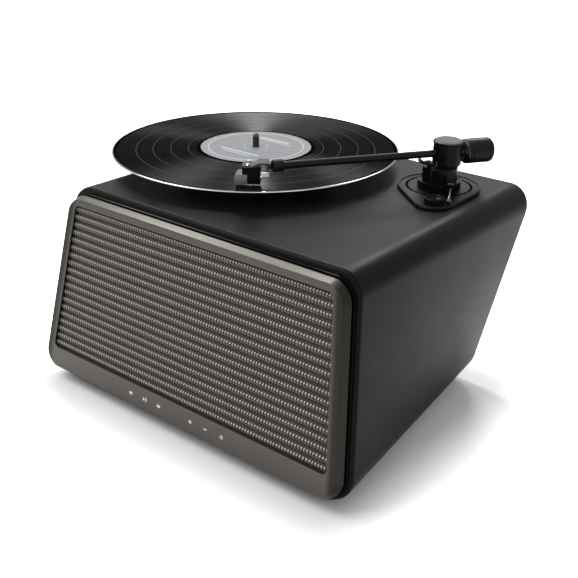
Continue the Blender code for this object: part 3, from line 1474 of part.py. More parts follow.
def build_switch(make, plane, plate, plate_low, plate_top):
    """A rocker switch in the connector plate: its housing and the rocker that tips in it."""
    x = 2 * SOCKET_SPACING + JACK_FACE
    length, height = SWITCH_LENGTH / 2, SWITCH_HEIGHT / 2
    axis = make.frame("rocker_axis", plane, (x, PLATE_RISE, plate_top + SEAT_GAP))
    inner_length, inner_height = length - SWITCH_FRAME, height - SWITCH_FRAME
    hole = box_mesh(
        "switch_hole",
        (x - inner_length - SEAT_GAP, PLATE_RISE - inner_height - SEAT_GAP, plate_low - OVERRUN),
        (x + inner_length + SEAT_GAP, PLATE_RISE + inner_height + SEAT_GAP, plate_top + OVERRUN),
    )
    make.cut(plate, hole)
    housing = box_mesh("switch_housing", (-length, -height, 0), (length, height, SWITCH_FRAME))
    housing = make.piece("switch_housing", housing, "black", axis)
    wall = SWITCH_FRAME / 2
    corners = (-inner_length, -inner_height, -SWITCH_DEPTH), (inner_length, inner_height, wall)
    make.join(housing, box_mesh("switch_body", *corners))
    well_length, well_height = inner_length - wall, inner_height - wall
    well_low = wall - SWITCH_DEPTH / 2
    corners = (-well_length, -well_height, well_low), (well_length, well_height, SWITCH_FRAME + OVERRUN)
    make.cut(housing, box_mesh("switch_well", *corners))
    lean = math.radians(ROCKER_ANGLE)
    reach = well_length - 2 * RUN_GAP
    width = well_height - RUN_GAP
    rise = reach * math.tan(lean)
    crown = SWITCH_FRAME + RUN_GAP
    outline = [
        (-reach, crown + rise),
        (0, crown),
        (reach, crown),
        (reach * math.cos(lean), -wall),
        (0, well_low + wall + rise / 2),
        (-reach * math.cos(lean), -wall),
    ]
    rocker = plate_mesh("power_rocker", [outline], -width, width)
    rocker.transform(Matrix.Rotation(math.pi / 2, 4, "X"))
    make.piece("power_rocker", rocker, "gloss", axis)


def build_board(make, plane, panel):
    """The amplifier board on four posts of the rear panel, with its heatsink and capacitors."""
    high = -REAR_PANEL_THICKNESS - BOARD_DEPTH
    low = high - BOARD_THICKNESS
    half = BOARD_LENGTH / 2
    bottom = PLATE_RISE - PLATE_HEIGHT / 2
    top = bottom + BOARD_HEIGHT
    board = box_mesh("amplifier_board", (-half, bottom, low), (half, top, high))
    board = make.piece("amplifier_board", board, "circuit", plane)
    sink = HEATSINK_LENGTH / 2
    sink_top = top - 2 * BOARD_POST_RADIUS
    middle = (low + high) / 2
    corners = (-sink, sink_top - HEATSINK_HEIGHT, low - HEATSINK_HEIGHT), (sink, sink_top, middle)
    make.join(board, box_mesh("heatsink", *corners))
    can_low = low - CAPACITOR_HEIGHT
    for i, side in enumerate((-1, 1)):
        centre = (side * (sink + 2 * CAPACITOR_RADIUS), sink_top - CAPACITOR_RADIUS)
        make.join(board, rod_mesh(f"capacitor_{i}", CAPACITOR_RADIUS, can_low, middle, SMALL_STEPS, centre))
    inset = 2 * BOARD_POST_RADIUS
    posts = [(x, y) for x in (inset - half, half - inset) for y in (bottom + inset, top - inset)]
    post_low, post_top = high + SEAT_GAP, OVERRUN / 2 - REAR_PANEL_THICKNESS
    for i, centre in enumerate(posts):
        post = rod_mesh(f"post_{i}", BOARD_POST_RADIUS, post_low, post_top, SMALL_STEPS // 2, centre)
        make.join(panel, post)


def rest_on_origin(make, root):
    """Moves the root so that the world's origin is under the middle of all the pieces."""
    bpy.context.view_layer.update()
    graph = bpy.context.evaluated_depsgraph_get()
    lows, highs = [], []
    for obj in make.parts.objects:
        if obj.type == "EMPTY":
            continue
        evaluated = obj.evaluated_get(graph)
        mesh = evaluated.to_mesh()
        points = np.empty(len(mesh.vertices) * 3, np.float32)
        mesh.vertices.foreach_get("co", points)
        world = np.array(evaluated.matrix_world)
        points = points.reshape(-1, 3) @ world[:3, :3].T + world[:3, 3]
        evaluated.to_mesh_clear()
        lows.append(points.min(axis=0))
        highs.append(points.max(axis=0))
    low, high = np.min(lows, axis=0), np.max(highs, axis=0)
    root.location = (-(low[0] + high[0]) / 2, -(low[1] + high[1]) / 2, -low[2])


def main():
    clear_scene()
    make = Builder()
    root = make.frame("turntable_frame", None)
    build_shell(make, root)
    build_feet(make, root)
    plane = build_front(make, root)
    build_speakers(make, plane)
    axis = build_deck(make, root)
    build_record(make, axis)
    build_tower(make, root)
    swing, tilt, head = arm_frames(make, root)
    build_gimbal(make, swing, tilt)
    build_arm(make, tilt)
    build_head(make, tilt, head)
    build_rear(make, root)
    rest_on_origin(make, root)


main()
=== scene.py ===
"""Dresses the record player: a finish for every piece, finer skins where they show, and a studio.

Lengths are metres and angles degrees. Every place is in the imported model's own frame, whose
cabinet frame starts at CABINET_PLACE: X to the right, Y to the rear and Z up from the floor.
"""

import json
import logging
import math
from dataclasses import dataclass
from enum import Enum
from typing import Callable, Iterable, Sequence

import bmesh
import bpy
from mathutils import Matrix, Vector

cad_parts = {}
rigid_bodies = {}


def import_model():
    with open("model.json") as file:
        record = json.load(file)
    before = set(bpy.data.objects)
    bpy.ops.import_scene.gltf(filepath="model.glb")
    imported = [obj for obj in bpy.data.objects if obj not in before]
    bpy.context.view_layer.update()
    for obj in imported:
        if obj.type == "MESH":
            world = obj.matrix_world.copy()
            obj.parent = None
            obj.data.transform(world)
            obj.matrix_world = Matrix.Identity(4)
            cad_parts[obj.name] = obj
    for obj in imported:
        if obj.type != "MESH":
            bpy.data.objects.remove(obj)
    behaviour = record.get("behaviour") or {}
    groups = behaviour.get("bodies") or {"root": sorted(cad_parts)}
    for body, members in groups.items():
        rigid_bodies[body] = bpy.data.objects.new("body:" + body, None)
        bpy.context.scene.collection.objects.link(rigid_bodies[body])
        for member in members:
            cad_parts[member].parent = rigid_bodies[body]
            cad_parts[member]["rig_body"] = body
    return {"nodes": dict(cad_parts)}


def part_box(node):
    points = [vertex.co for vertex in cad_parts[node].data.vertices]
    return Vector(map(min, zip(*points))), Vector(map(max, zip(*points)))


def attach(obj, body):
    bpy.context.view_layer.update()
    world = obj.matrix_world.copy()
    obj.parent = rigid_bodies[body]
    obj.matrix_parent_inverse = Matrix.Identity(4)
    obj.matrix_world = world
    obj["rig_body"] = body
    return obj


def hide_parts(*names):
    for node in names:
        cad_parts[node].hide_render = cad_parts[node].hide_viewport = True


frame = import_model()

Colour = tuple[float, float, float]
Point = tuple[float, float, float]
Flat = tuple[float, float]

LOG = logging.getLogger("record_player")
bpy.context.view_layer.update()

CABINET_PLACE = Vector((0.024288, -0.186655, 0.0))
DECK = 0.2001
FACE_TILT = 10.55
FACE_BOTTOM = 0.0163
FACE_STANDS_OFF = 0.0122
REAR_BOTTOM = (0.0, 0.2771, 0.008)
REAR_TOP = (0.0, 0.3372, 0.2001)
RECORD_AXIS = (-0.0903, 0.2227)
MOTOR_AXIS = (-0.067213, 0.159271)
TOWER_AXIS = (0.1054, 0.2711)
PIVOT_AXIS = (0.1090, 0.2760)
KNOB_AXIS = (0.1277, 0.2247)
ARM_HEIGHT = 0.0356
ARM_BEARING = -124.0
ARM_BEND = 0.1760
HEAD_OFFSET = 19.6
WORLD = Matrix.Identity(4)
WELD = 0.000002
FLAT_ANGLE = 0.5
SEAT = 0.0003
FINE_EDGE = 0.0003
PRINT_LOW = 0.00002
PRINT_HIGH = 0.00006
METAL = 1.0
QUARTER_TURN = 0.25
NOISE_LOW = 0.3
NOISE_HIGH = 0.7
PATCH_GRAINS = 40
GLOSS_CHANGE = 0.15


class Body(str, Enum):
    """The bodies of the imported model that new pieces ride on."""

    CABINET = "cabinet"
    PLATTER = "platter_group"
    DIAL = "force_dial"
    WEIGHT = "balance_weight"
    KNOB = "skate_knob"


class Slot(str, Enum):
    """The record's material slots."""

    LEATHER = "leather"
    GUNMETAL = "gunmetal"
    CLOTH = "cloth"
    GLOSS = "gloss_black"
    ARM = "arm_metal"
    SILVER = "silver"
    VINYL = "vinyl"
    LABEL = "label"


class Symbol(Enum):
    """The plain marks printed over the touch keys."""

    BACK = "back"
    PLAY_PAUSE = "play_pause"
    FORWARD = "forward"
    PLUS = "plus"
    MINUS = "minus"
    SOURCE = "source"


def turned(angle: float, axis: str) -> Matrix:
    """A turn in degrees about an axis."""
    return Matrix.Rotation(math.radians(angle), 4, axis)


def moved(x: float, y: float, z: float) -> Matrix:
    """A move in the cabinet frame."""
    return Matrix.Translation(CABINET_PLACE) @ Matrix.Translation((x, y, z))


def face_matrix() -> Matrix:
    """The leaning face: x across, y up the face and z out of it."""
    return moved(0, 0, FACE_BOTTOM) @ turned(90 - FACE_TILT, "X")


def rear_matrix() -> Matrix:
    """The undercut rear: x to the left as the front is seen, y up the rear and z out of it."""
    up = (Vector(REAR_TOP) - Vector(REAR_BOTTOM)).normalized()
    out = Vector((0, up.z, -up.y))
    return moved(*REAR_BOTTOM) @ Matrix((up.cross(out), up, out)).transposed().to_4x4()


def deck_matrix(axis: Flat) -> Matrix:
    """An upright axis that stands on the deck."""
    return moved(*axis, DECK)


def arm_matrix() -> Matrix:
    """The tonearm at rest: x runs out along the tube from the pivot."""
    return moved(*PIVOT_AXIS, DECK + ARM_HEIGHT) @ turned(ARM_BEARING, "Z")


def tube_matrix(forward: bool) -> Matrix:
    """The arm's long axis as z, towards the head or towards the counterweight."""
    return arm_matrix() @ turned(90 if forward else -90, "Y")


def head_matrix() -> Matrix:
    """The headshell past the bend of the arm."""
    return arm_matrix() @ Matrix.Translation((ARM_BEND, 0, 0)) @ turned(-HEAD_OFFSET, "Z")


class Value:
    """What a node of a material gives. Numbers among them add and multiply as plain ones do."""

    def __init__(self, graph: "Graph", socket: bpy.types.NodeSocket) -> None:
        """Wraps a node's output."""
        self.graph = graph
        self.socket = socket

    def __add__(self, other: object) -> "Value":
        """This and another."""
        return self.graph.math("ADD", self, other)

    def __sub__(self, other: object) -> "Value":
        """This less another."""
        return self.graph.math("SUBTRACT", self, other)

    def __rsub__(self, other: float) -> "Value":
        """A plain number less this."""
        return self.graph.math("SUBTRACT", other, self)

    def __mul__(self, other: object) -> "Value":
        """This times another."""
        return self.graph.math("MULTIPLY", self, other)

    def __truediv__(self, other: float) -> "Value":
        """This over a plain number."""
        return self.graph.math("DIVIDE", self, other)

    def __abs__(self) -> "Value":
        """This without its sign."""
        return self.graph.math("ABSOLUTE", self, 0.0)

    def fraction(self) -> "Value":
        """What follows the point."""
        return self.graph.math("FRACT", self, 0.0)

    def most(self, other: "Value") -> "Value":
        """The larger of this and another."""
        return self.graph.math("MAXIMUM", self, other)

    def part(self, axis: str) -> "Value":
        """One coordinate of a vector."""
        return self.graph.node("SeparateXYZ", axis, {0: self})

    def stretched(self, by: Point) -> "Value":
        """A vector scaled along each axis."""
        return self.graph.vector("MULTIPLY", self, by)

    def radius(self) -> "Value":
        """A vector's distance from the Z axis."""
        return self.graph.node("VectorMath", "Value", {0: self.stretched((1, 1, 0))}, operation="LENGTH")


class Graph:
    """One material's node tree, written a node at a time."""

    def __init__(self, name: str) -> None:
        """Starts a material of that name."""
        self.material = bpy.data.materials.new(name)
        self.material.use_nodes = True
        self.tree = self.material.node_tree
        self.shader = self.tree.nodes["Principled BSDF"]
        self.last_bump: Value | None = None

    def feed(self, socket: bpy.types.NodeSocket, value: object) -> None:
        """Links a value into a socket, or sets the socket."""
        if isinstance(value, Value):
            self.tree.links.new(value.socket, socket)
        else:
            socket.default_value = value

    def set(self, name: str, value: object) -> None:
        """Feeds the shader's input of that name."""
        self.feed(self.shader.inputs[name], value)

    def node(self, kind: str, output: str | int, values: dict | None = None, **settings: object) -> Value:
        """Adds a shader node.

        Args:
            kind: the node's type without its common first part.
            output: the output that is wanted.
            values: what goes into its inputs, by name or number.
            settings: the node's own settings.

        Returns:
            What it gives at that output.
        """
        made = self.tree.nodes.new("ShaderNode" + kind)
        for name, value in settings.items():
            setattr(made, name, value)
        for name, value in (values or {}).items():
            self.feed(made.inputs[name], value)
        return Value(self, made.outputs[output])

    def place(self) -> Value:
        """The point on the piece, in the piece's own frame."""
        return self.node("TexCoord", "Object")

    def math(self, operation: str, a: object, b: object) -> Value:
        """Two numbers put through one operation."""
        return self.node("Math", 0, {0: a, 1: b}, operation=operation)

    def vector(self, operation: str, a: Value, b: object) -> Value:
        """Two vectors put through one operation."""
        return self.node("VectorMath", 0, {0: a, 1: b}, operation=operation)

    def noise(self, vector: Value, size: float, detail: float = 3.0) -> Value:
        """Soft random shades whose patches are about the given size."""
        values = {"Vector": vector, "Scale": 1 / size, "Detail": detail, "Roughness": 0.55}
        return self.node("TexNoise", "Fac", values)

    def rings(self, number: Value, size: float, detail: float) -> Value:
        """Random shades along one number, such as a radius."""
        values = {"W": number, "Scale": 1 / size, "Detail": detail}
        return self.node("TexNoise", "Fac", values, noise_dimensions="1D")

    def cells(self, vector: Value, size: float) -> Value:
        """The distance to the nearest wall between cells of about the given size."""
        values = {"Vector": vector, "Scale": 1 / size}
        return self.node("TexVoronoi", "Distance", values, feature="DISTANCE_TO_EDGE")

    def span(
        self, value: Value, low: float, high: float, start: float, end: float, soft: bool = False
    ) -> Value:
        """Maps a number.

        Args:
            value: the number.
            low: what start becomes.
            high: what end becomes.
            start: where the change starts.
            end: where the change ends.
            soft: whether it eases in and out.

        Returns:
            The mapped number.
        """
        kind = "SMOOTHSTEP" if soft else "LINEAR"
        values = {"Value": value, "From Min": start, "From Max": end, "To Min": low, "To Max": high}
        return self.node("MapRange", "Result", values, interpolation_type=kind, clamp=True)

    def shades(self, noise: Value, low: float = 0.0, high: float = 1.0) -> Value:
        """Maps the middle of a noise's range, where most of it lies."""
        return self.span(noise, low, high, NOISE_LOW, NOISE_HIGH)

    def line(self, value: Value, centre: float, half: float) -> Value:
        """One on a soft line of that half width where a number passes its centre, else nought."""
        return self.span(abs(value - centre), 1.0, 0.0, half * 0.5, half * 1.5, soft=True)

    def blend(self, share: Value, a: object, b: object) -> Value:
        """Two colours mixed by a share."""
        ends = [value if isinstance(value, Value) else (*value, 1) for value in (a, b)]
        return self.node("Mix", 2, {0: share, 6: ends[0], 7: ends[1]}, data_type="RGBA")

    def bump(self, height: Value, distance: float) -> None:
        """Raises the surface by a height, over any bump that is there already."""
        values = {"Height": height, "Distance": distance, "Strength": 1.0}
        if self.last_bump:
            values["Normal"] = self.last_bump
        self.last_bump = self.node("Bump", 0, values)
        self.set("Normal", self.last_bump)

    def surface(self, colour: Value, rough: Value, height: Value, relief: float) -> None:
        """Gives the shader its colour, its roughness and its first bump."""
        self.set("Base Color", colour)
        self.set("Roughness", rough)
        self.bump(height, relief)

    def fan(self) -> None:
        """Makes highlights run from the Z axis outwards."""
        self.set("Tangent", self.node("Tangent", 0, direction_type="RADIAL", axis="Z"))


@dataclass(frozen=True)
class Finish:
    """A moulded or painted surface, and what every other finish starts from.

    Fields:
        name: the material's name.
        colour: its middle colour.
        roughness: its middle roughness.
        metallic: one for bare metal.
        specular: how strongly it mirrors at a right angle, half being plain plastic.
        grain: the size of the finest texture.
        relief: how high that texture stands.
        fade: the share by which the colour varies.
        spin: how far a highlight is drawn out, across the rings of a turned piece.
    """

    name: str
    colour: Colour
    roughness: float
    metallic: float = 0.0
    specular: float = 0.5
    grain: float = 0.0004
    relief: float = 0.00001
    fade: float = 0.2
    spin: float = 0.0

    def material(self) -> bpy.types.Material:
        """The finish's material, made when it is first asked for."""
        known = bpy.data.materials.get(self.name)
        if known:
            return known
        graph = Graph(self.name)
        graph.set("Metallic", self.metallic)
        graph.set("Specular IOR Level", self.specular)
        graph.set("Anisotropic", self.spin)
        graph.set("Anisotropic Rotation", QUARTER_TURN)
        self.draw(graph)
        graph.material.diffuse_color = (*self.colour, 1)
        return graph.material

    def shade(self, factor: float) -> Colour:
        """The finish's colour made lighter or darker by a factor."""
        red, green, blue = self.colour
        return (red * factor, green * factor, blue * factor)

    def tinted(self, graph: Graph, tone: Value) -> Value:
        """The finish's colour, from its darkest to its lightest."""
        return graph.blend(tone, self.shade(1 - self.fade), self.shade(1 + self.fade))

    def uneven(self, graph: Graph, noise: Value) -> Value:
        """Roughness that varies a little with a noise."""
        return graph.shades(noise, self.roughness * (1 - GLOSS_CHANGE), self.roughness * (1 + GLOSS_CHANGE))

    def draw(self, graph: Graph) -> None:
        """Draws handling marks, a fine grain and a little uneven gloss."""
        place = graph.place()
        patches = graph.noise(place, self.grain * PATCH_GRAINS)
        grain = graph.noise(place, self.grain)
        colour = self.tinted(graph, graph.shades(patches * 0.6 + grain * 0.4))
        graph.surface(colour, self.uneven(graph, patches), grain, self.relief)


@dataclass(frozen=True)
class Leather(Finish):
    """Wrapped leather: pebbled cells, finer wrinkles and a slightly polished crown on each cell.

    Fields:
        cell: the size of a cell.
        wall: how far from a cell's edge its crown starts, as a share of the cell.
        polish: how much smoother the crowns are.
    """

    cell: float = 0.0010
    wall: float = 0.35
    polish: float = 0.05

    def draw(self, graph: Graph) -> None:
        """Draws the pebbles, the wrinkles across them and the uneven shine."""
        place = graph.place()
        warp = graph.node("TexNoise", "Color", {"Vector": place, "Scale": 1 / (self.cell * 2)})
        bent = graph.vector("ADD", place, warp.stretched((self.cell, self.cell, self.cell)))
        pebble = graph.span(graph.cells(bent, self.cell), 0, 1, 0.0, self.wall, soft=True)
        wrinkle = graph.noise(place, self.cell * 0.4, 4)
        patches = graph.noise(place, self.cell * 60)
        colour = self.tinted(graph, pebble * graph.shades(patches, 0.75))
        rough = self.uneven(graph, patches) - pebble * self.polish
        graph.surface(colour, rough, pebble, self.relief)
        graph.bump(wrinkle, self.relief * 0.4)


@dataclass(frozen=True)
class BrushedMetal(Finish):
    """Metal brushed along one axis of its piece.

    Fields:
        lines: about how many strokes there are to a metre along each axis.
    """

    lines: Point = (6.0, 900.0, 900.0)

    def draw(self, graph: Graph) -> None:
        """Draws long brush strokes in colour, gloss and relief, and faint cloudy marks."""
        place = graph.place()
        strokes = graph.noise(place.stretched(self.lines), 1.0, 5)
        colour = self.clouded(graph, place, strokes)
        graph.surface(colour, self.uneven(graph, strokes), strokes, self.relief)

    def clouded(self, graph: Graph, place: Value, strokes: Value) -> Value:
        """The colour of the strokes, dulled here and there."""
        return self.tinted(graph, graph.shades(strokes) * graph.shades(graph.noise(place, 0.05), 0.8))


@dataclass(frozen=True)
class FrameMetal(BrushedMetal):
    """The front frame's metal: brushed along its rails and up its stiles, which carry painted shade.

    Fields:
        upright: the same as lines for the strokes of the stiles.
        foot: how far across the stiles start at the bottom of the face.
        slope: how fast they draw in with height.
        soft: half the width over which a rail turns into one of the stiles.
        stile_shade: the share of the rail's brightness that the stiles keep, as painted shade.
    """

    upright: Point = (900.0, 6.0, 900.0)
    foot: float = 0.1790
    slope: float = 0.124
    soft: float = 0.004
    stile_shade: float = 0.31

    def draw(self, graph: Graph) -> None:
        """Draws the strokes of the rails and the stiles, the painted shade on the stiles, and faint cloudy
        marks.
        """
        place = graph.place()
        leant = abs(place.part("X")) + place.part("Y") * self.slope
        # where the stiles lie, which take upright strokes and painted shade
        stile_shade = graph.span(leant, 0, 1, self.foot - self.soft, self.foot + self.soft, soft=True)
        along = graph.noise(place.stretched(self.lines), 1.0, 5)
        up = graph.noise(place.stretched(self.upright), 1.0, 5)
        strokes = along * (1.0 - stile_shade) + up * stile_shade
        # painted shade: the stiles are darkened to a share of the rails' brightness
        colour = graph.blend(stile_shade, self.clouded(graph, place, strokes), self.shade(self.stile_shade))
        graph.surface(colour, self.uneven(graph, strokes), strokes, self.relief)


@dataclass(frozen=True)
class RingedPlate(Finish):
    """A moulded plate with a ring groove round its own Z axis, darkened by painted shade."""

    ring: float = 0.0315
    half: float = 0.0012
    depth: float = 0.0006

    def draw(self, graph: Graph) -> None:
        """Draws the plain moulding, then sinks the groove and paints shade into it, dark and without
        reflection.
        """
        super().draw(graph)
        groove = graph.line(graph.place().radius(), self.ring, self.half)
        plain = Value(graph, graph.shader.inputs["Base Color"].links[0].from_socket)
        # painted shade: the groove is coloured near black and its reflection is taken away
        graph.set("Base Color", graph.blend(groove, plain, self.shade(0.1)))
        graph.set("Specular IOR Level", graph.span(groove, self.specular, 0.0, 0, 1))
        graph.bump(1.0 - groove, self.depth)


@dataclass(frozen=True)
class TurnedMetal(Finish):
    """Metal turned on a lathe: fine rings round the piece's own Z axis."""

    pitch: float = 0.0004

    def draw(self, graph: Graph) -> None:
        """Draws the tool's rings, and a highlight that fans out where the finish has a spin."""
        place = graph.place()
        rings = graph.rings(place.radius() + place.part("Z"), self.pitch, 4)
        patches = graph.noise(place, 0.012)
        colour = self.tinted(graph, graph.shades(rings) * graph.shades(patches, 0.7))
        graph.surface(colour, self.uneven(graph, rings), rings, self.relief)
        if self.spin:
            graph.fan()


@dataclass(frozen=True)
class GrilleCloth(Finish):
    """Corded loudspeaker cloth: two rows of light stitches on each rib, over dark open weave.

    Fields:
        low: the height of the lowest rib's foot, up the face.
        rib: the height of a rib.
        stitch: the distance between stitches.
        thread: the colour of the light stitches.
        web: the colour of the upright threads between them.
        lower_row: how bright the lower of a rib's two rows of stitches is.
        upper_at: how far up the rib the upper row lies.
        lower_at: how far up the rib the lower row lies.
    """

    low: float = 0.0
    rib: float = 0.0080
    stitch: float = 0.0032
    thread: Colour = (0.455, 0.42, 0.365)
    web: Colour = (0.024, 0.021, 0.017)
    lower_row: float = 0.55
    upper_at: float = 0.63
    lower_at: float = 0.33

    def spot(self, graph: Graph, across: Value, up: Value, height: float, half: Flat) -> Value:
        """A soft oval spot in the middle of each cell of the weave.

        Args:
            graph: the material's tree.
            across: the share of a stitch, from nought to one.
            up: the share of a rib, from nought to one.
            height: the share of a rib where the spot's middle is.
            half: the spot's half sizes as shares.

        Returns:
            One inside the spot and nought outside.
        """
        squares = []
        for value, middle, reach in ((across, 0.5, half[0]), (up, height, half[1])):
            away = (value - middle) / reach
            squares.append(away * away)
        return graph.span(squares[0] + squares[1], 1.0, 0.0, 0.45, 1.25, soft=True)

    def draw(self, graph: Graph) -> None:
        """Draws two rows of stitches on each rib, holes along each valley and fine upright threads."""
        place = graph.place()
        wander = graph.noise(place, 0.010) * (self.stitch * 0.5)
        across = (place.part("X") + wander) / self.stitch
        up = (place.part("Y") - self.low) / self.rib
        column, row = across.fraction(), up.fraction()
        beside, valley = (across + 0.5).fraction(), (up + 0.5).fraction()
        upper = self.spot(graph, column, row, self.upper_at, (0.30, 0.13))
        lower = self.spot(graph, column, row, self.lower_at, (0.27, 0.11))
        stitches = upper.most(lower * self.lower_row)
        notches = self.spot(graph, beside, row, self.lower_at, (0.24, 0.12))
        notches += self.spot(graph, beside, row, self.upper_at, (0.20, 0.10))
        dark = self.spot(graph, column, valley, 0.5, (0.42, 0.15)).most(notches * 0.8)
        threads = graph.line((across * 2).fraction(), 0.5, 0.24)
        fuzz = graph.shades(graph.noise(place, 0.0005, 4), 0.6, 1.2)
        ground = graph.blend(threads * fuzz, self.colour, self.web)
        holed = graph.blend(dark, ground, self.shade(0.08))
        colour = graph.blend(stitches, holed, graph.blend(fuzz, self.web, self.thread))
        height = stitches + threads * 0.3 - dark
        graph.surface(colour, graph.span(fuzz, 0.95, 0.75, 0, 1), height, self.relief)


@dataclass(frozen=True)
class Vinyl(Finish):
    """A pressed record: grooves, blank bands between the tracks, a plain run-out and a painted rim
    highlight.

    Fields:
        fine_pitch: the distance between grooves.
        loud_pitch: the distance between louder and softer passages.
        bands: the radii of the blank bands.
        band_half: half the width of a band.
        run_out: the radius where the grooves end.
        edge: the radius where they start.
        field_soft: how far the grooves take to reach their depth there.
        shine: the radius where the rim's painted highlight starts.
        shine_soft: how far the rim takes to reach its painted highlight.
        tracks: the colour of the loudest grooves.
        band: the colour of the bands.
        bright: the rim's pale colour, a painted highlight for the light that the rim's edge catches.
        far_tint: how much of a mirror it is where it is seen at a flat angle.
        polish: the roughness without any groove.
    """

    fine_pitch: float = 0.00025
    loud_pitch: float = 0.0022
    bands: tuple[float, ...] = (0.1257, 0.1082, 0.0899, 0.0716)
    band_half: float = 0.00045
    run_out: float = 0.0625
    edge: float = 0.1463
    field_soft: float = 0.0006
    shine: float = 0.1486
    shine_soft: float = 0.001
    tracks: Colour = (0.041, 0.041, 0.042)
    band: Colour = (0.15, 0.15, 0.15)
    bright: Colour = (0.45, 0.45, 0.45)
    far_tint: float = 0.35
    polish: float = 0.09

    def draw(self, graph: Graph) -> None:
        """Draws the groove field, the bands, the painted highlight on the rim and the highlight that fans
        out.
        """
        radius = graph.place().radius()
        fine = graph.rings(radius, self.fine_pitch, 2)
        loud = graph.rings(radius, self.loud_pitch, 3)
        inner = graph.span(radius, 0, 1, self.run_out, self.run_out + self.field_soft)
        field = inner * graph.span(radius, 1, 0, self.edge - self.field_soft, self.edge)
        lines = graph.line(radius, self.bands[0], self.band_half)
        for band in self.bands[1:]:
            lines = lines.most(graph.line(radius, band, self.band_half))
        grooved = field * (1.0 - lines)
        pressed = graph.blend(grooved * graph.shades(loud, 0.35), self.colour, self.tracks)
        # painted highlight: past this radius the rim is coloured pale for the light that it catches
        rim = graph.span(radius, 0, 1, self.shine, self.shine + self.shine_soft)
        colour = graph.blend(rim, graph.blend(lines, pressed, self.band), self.bright)
        groove = graph.shades(loud, self.roughness * 0.8, self.roughness * 1.35)
        graph.surface(colour, groove * grooved + self.polish, fine * grooved, self.relief)
        graph.bump(lines, self.relief * 2)
        graph.fan()
        graph.set("Specular Tint", (self.far_tint, self.far_tint, self.far_tint, 1))


@dataclass(frozen=True)
class LabelPaper(Finish):
    """A printed paper label with a plain layout of its own: two rings and a few light bars.

    Fields:
        ring: the radius where the pale rim starts.
        ring_half: half the width of the line there.
        rim_soft: half the width over which the rim turns pale.
        inner_ring: the radius of the small ring.
        inner_half: half the width of its line.
        bar_soft: how far a bar's ends fade.
        pale: the colour of the rim.
        ink: the colour of rings and bars.
        bars: each bar's height, half length and half thickness.
    """

    ring: float = 0.0503
    ring_half: float = 0.0006
    rim_soft: float = 0.0001
    inner_ring: float = 0.0125
    inner_half: float = 0.0003
    bar_soft: float = 0.0003
    pale: Colour = (0.19, 0.194, 0.198)
    ink: Colour = (0.38, 0.385, 0.39)
    bars: tuple[Point, ...] = (
        (0.0300, 0.020, 0.0020),
        (0.0245, 0.028, 0.0009),
        (-0.0260, 0.026, 0.0016),
        (-0.0320, 0.018, 0.0009),
    )

    def draw(self, graph: Graph) -> None:
        """Draws the pale rim, its lines, the bars and the paper's fibres."""
        place = graph.place()
        radius = place.radius()
        fibres = graph.noise(place, 0.0006, 5)
        base = self.tinted(graph, graph.shades(fibres, 0.2, 0.8))
        rim = graph.span(radius, 0, 1, self.ring - self.rim_soft, self.ring + self.rim_soft)
        colour = graph.blend(rim, base, self.pale)
        marks = graph.line(radius, self.ring, self.ring_half)
        marks = marks.most(graph.line(radius, self.inner_ring, self.inner_half))
        for height, reach, half in self.bars:
            inside = graph.span(abs(place.part("X")), 1, 0, reach - self.bar_soft, reach)
            marks = marks.most(graph.line(place.part("Y"), height, half) * inside)
        graph.surface(graph.blend(marks, colour, self.ink), self.uneven(graph, fibres), fibres, self.relief)


@dataclass(frozen=True)
class CircuitBoard(Finish):
    """A circuit board with tinned tracks and pads."""

    tin: Colour = (0.35, 0.33, 0.28)

    def draw(self, graph: Graph) -> None:
        """Draws the tracks as the joints of a brick pattern, with a speckle of pads."""
        place = graph.place()
        tilt = graph.node("Mapping", 0, {"Vector": place, "Rotation": (0.9, 0.0, 0.6)})
        black, white = (0, 0, 0, 1), (1, 1, 1, 1)
        bricks = {"Color1": black, "Color2": black, "Mortar": white, "Mortar Size": 0.03, "Scale": 160.0}
        tracks = graph.node("TexBrick", "Color", {"Vector": tilt, **bricks})
        metal = tracks.most(graph.span(graph.cells(place, 0.004), 1, 0, 0.02, 0.05))
        rough = graph.span(metal, self.roughness, 0.3, 0, 1)
        graph.surface(graph.blend(metal, self.colour, self.tin), rough, metal, self.relief)


@dataclass(frozen=True)
class PulpCone(Finish):
    """Pressed paper pulp."""

    def draw(self, graph: Graph) -> None:
        """Draws matted fibres and cloudy patches."""
        place = graph.place()
        fibres = graph.noise(place.stretched((1.0, 2.5, 1.0)), 0.0008, 6)
        patches = graph.noise(place, 0.010)
        colour = graph.blend(fibres * graph.shades(patches, 0.6), self.shade(0.5), self.shade(2.2))
        graph.surface(colour, self.uneven(graph, patches), fibres, self.relief)


@dataclass(frozen=True)
class ShadowFloor(Finish):
    """The pale floor: it shows the part's shadow and fades to white round it.

    Fields:
        middle: the middle of the part's footprint.
        half: the footprint's half sizes.
        fade_start: how far from the footprint the floor starts to lift to white.
        fade_end: how far from it the floor is white.
    """

    middle: Point = (0.024, -0.045, 0.0)
    half: Point = (0.17, 0.135, 0.0)
    fade_start: float = 0.004
    fade_end: float = 0.10

    def draw(self, graph: Graph) -> None:
        """Draws a faintly uneven floor that is white to the camera away from the part's foot."""
        place = graph.place()
        patches = graph.noise(place, 0.8)
        graph.set("Base Color", graph.blend(patches, self.shade(0.985), self.colour))
        graph.set("Roughness", self.uneven(graph, patches))
        centred = graph.vector("SUBTRACT", place, self.middle)
        mirrored = graph.node("VectorMath", 0, {0: centred}, operation="ABSOLUTE")
        outside = graph.vector("MAXIMUM", graph.vector("SUBTRACT", mirrored, self.half), (0, 0, 0))
        away = graph.span(outside.radius(), 0.0, 1.0, self.fade_start, self.fade_end, soft=True)
        camera, glossy, through = (
            graph.node("LightPath", f"Is {kind} Ray") for kind in ("Camera", "Glossy", "Transmission")
        )
        graph.set("Emission Color", (1, 1, 1, 1))
        graph.set("Emission Strength", camera.most(glossy).most(through) * away)


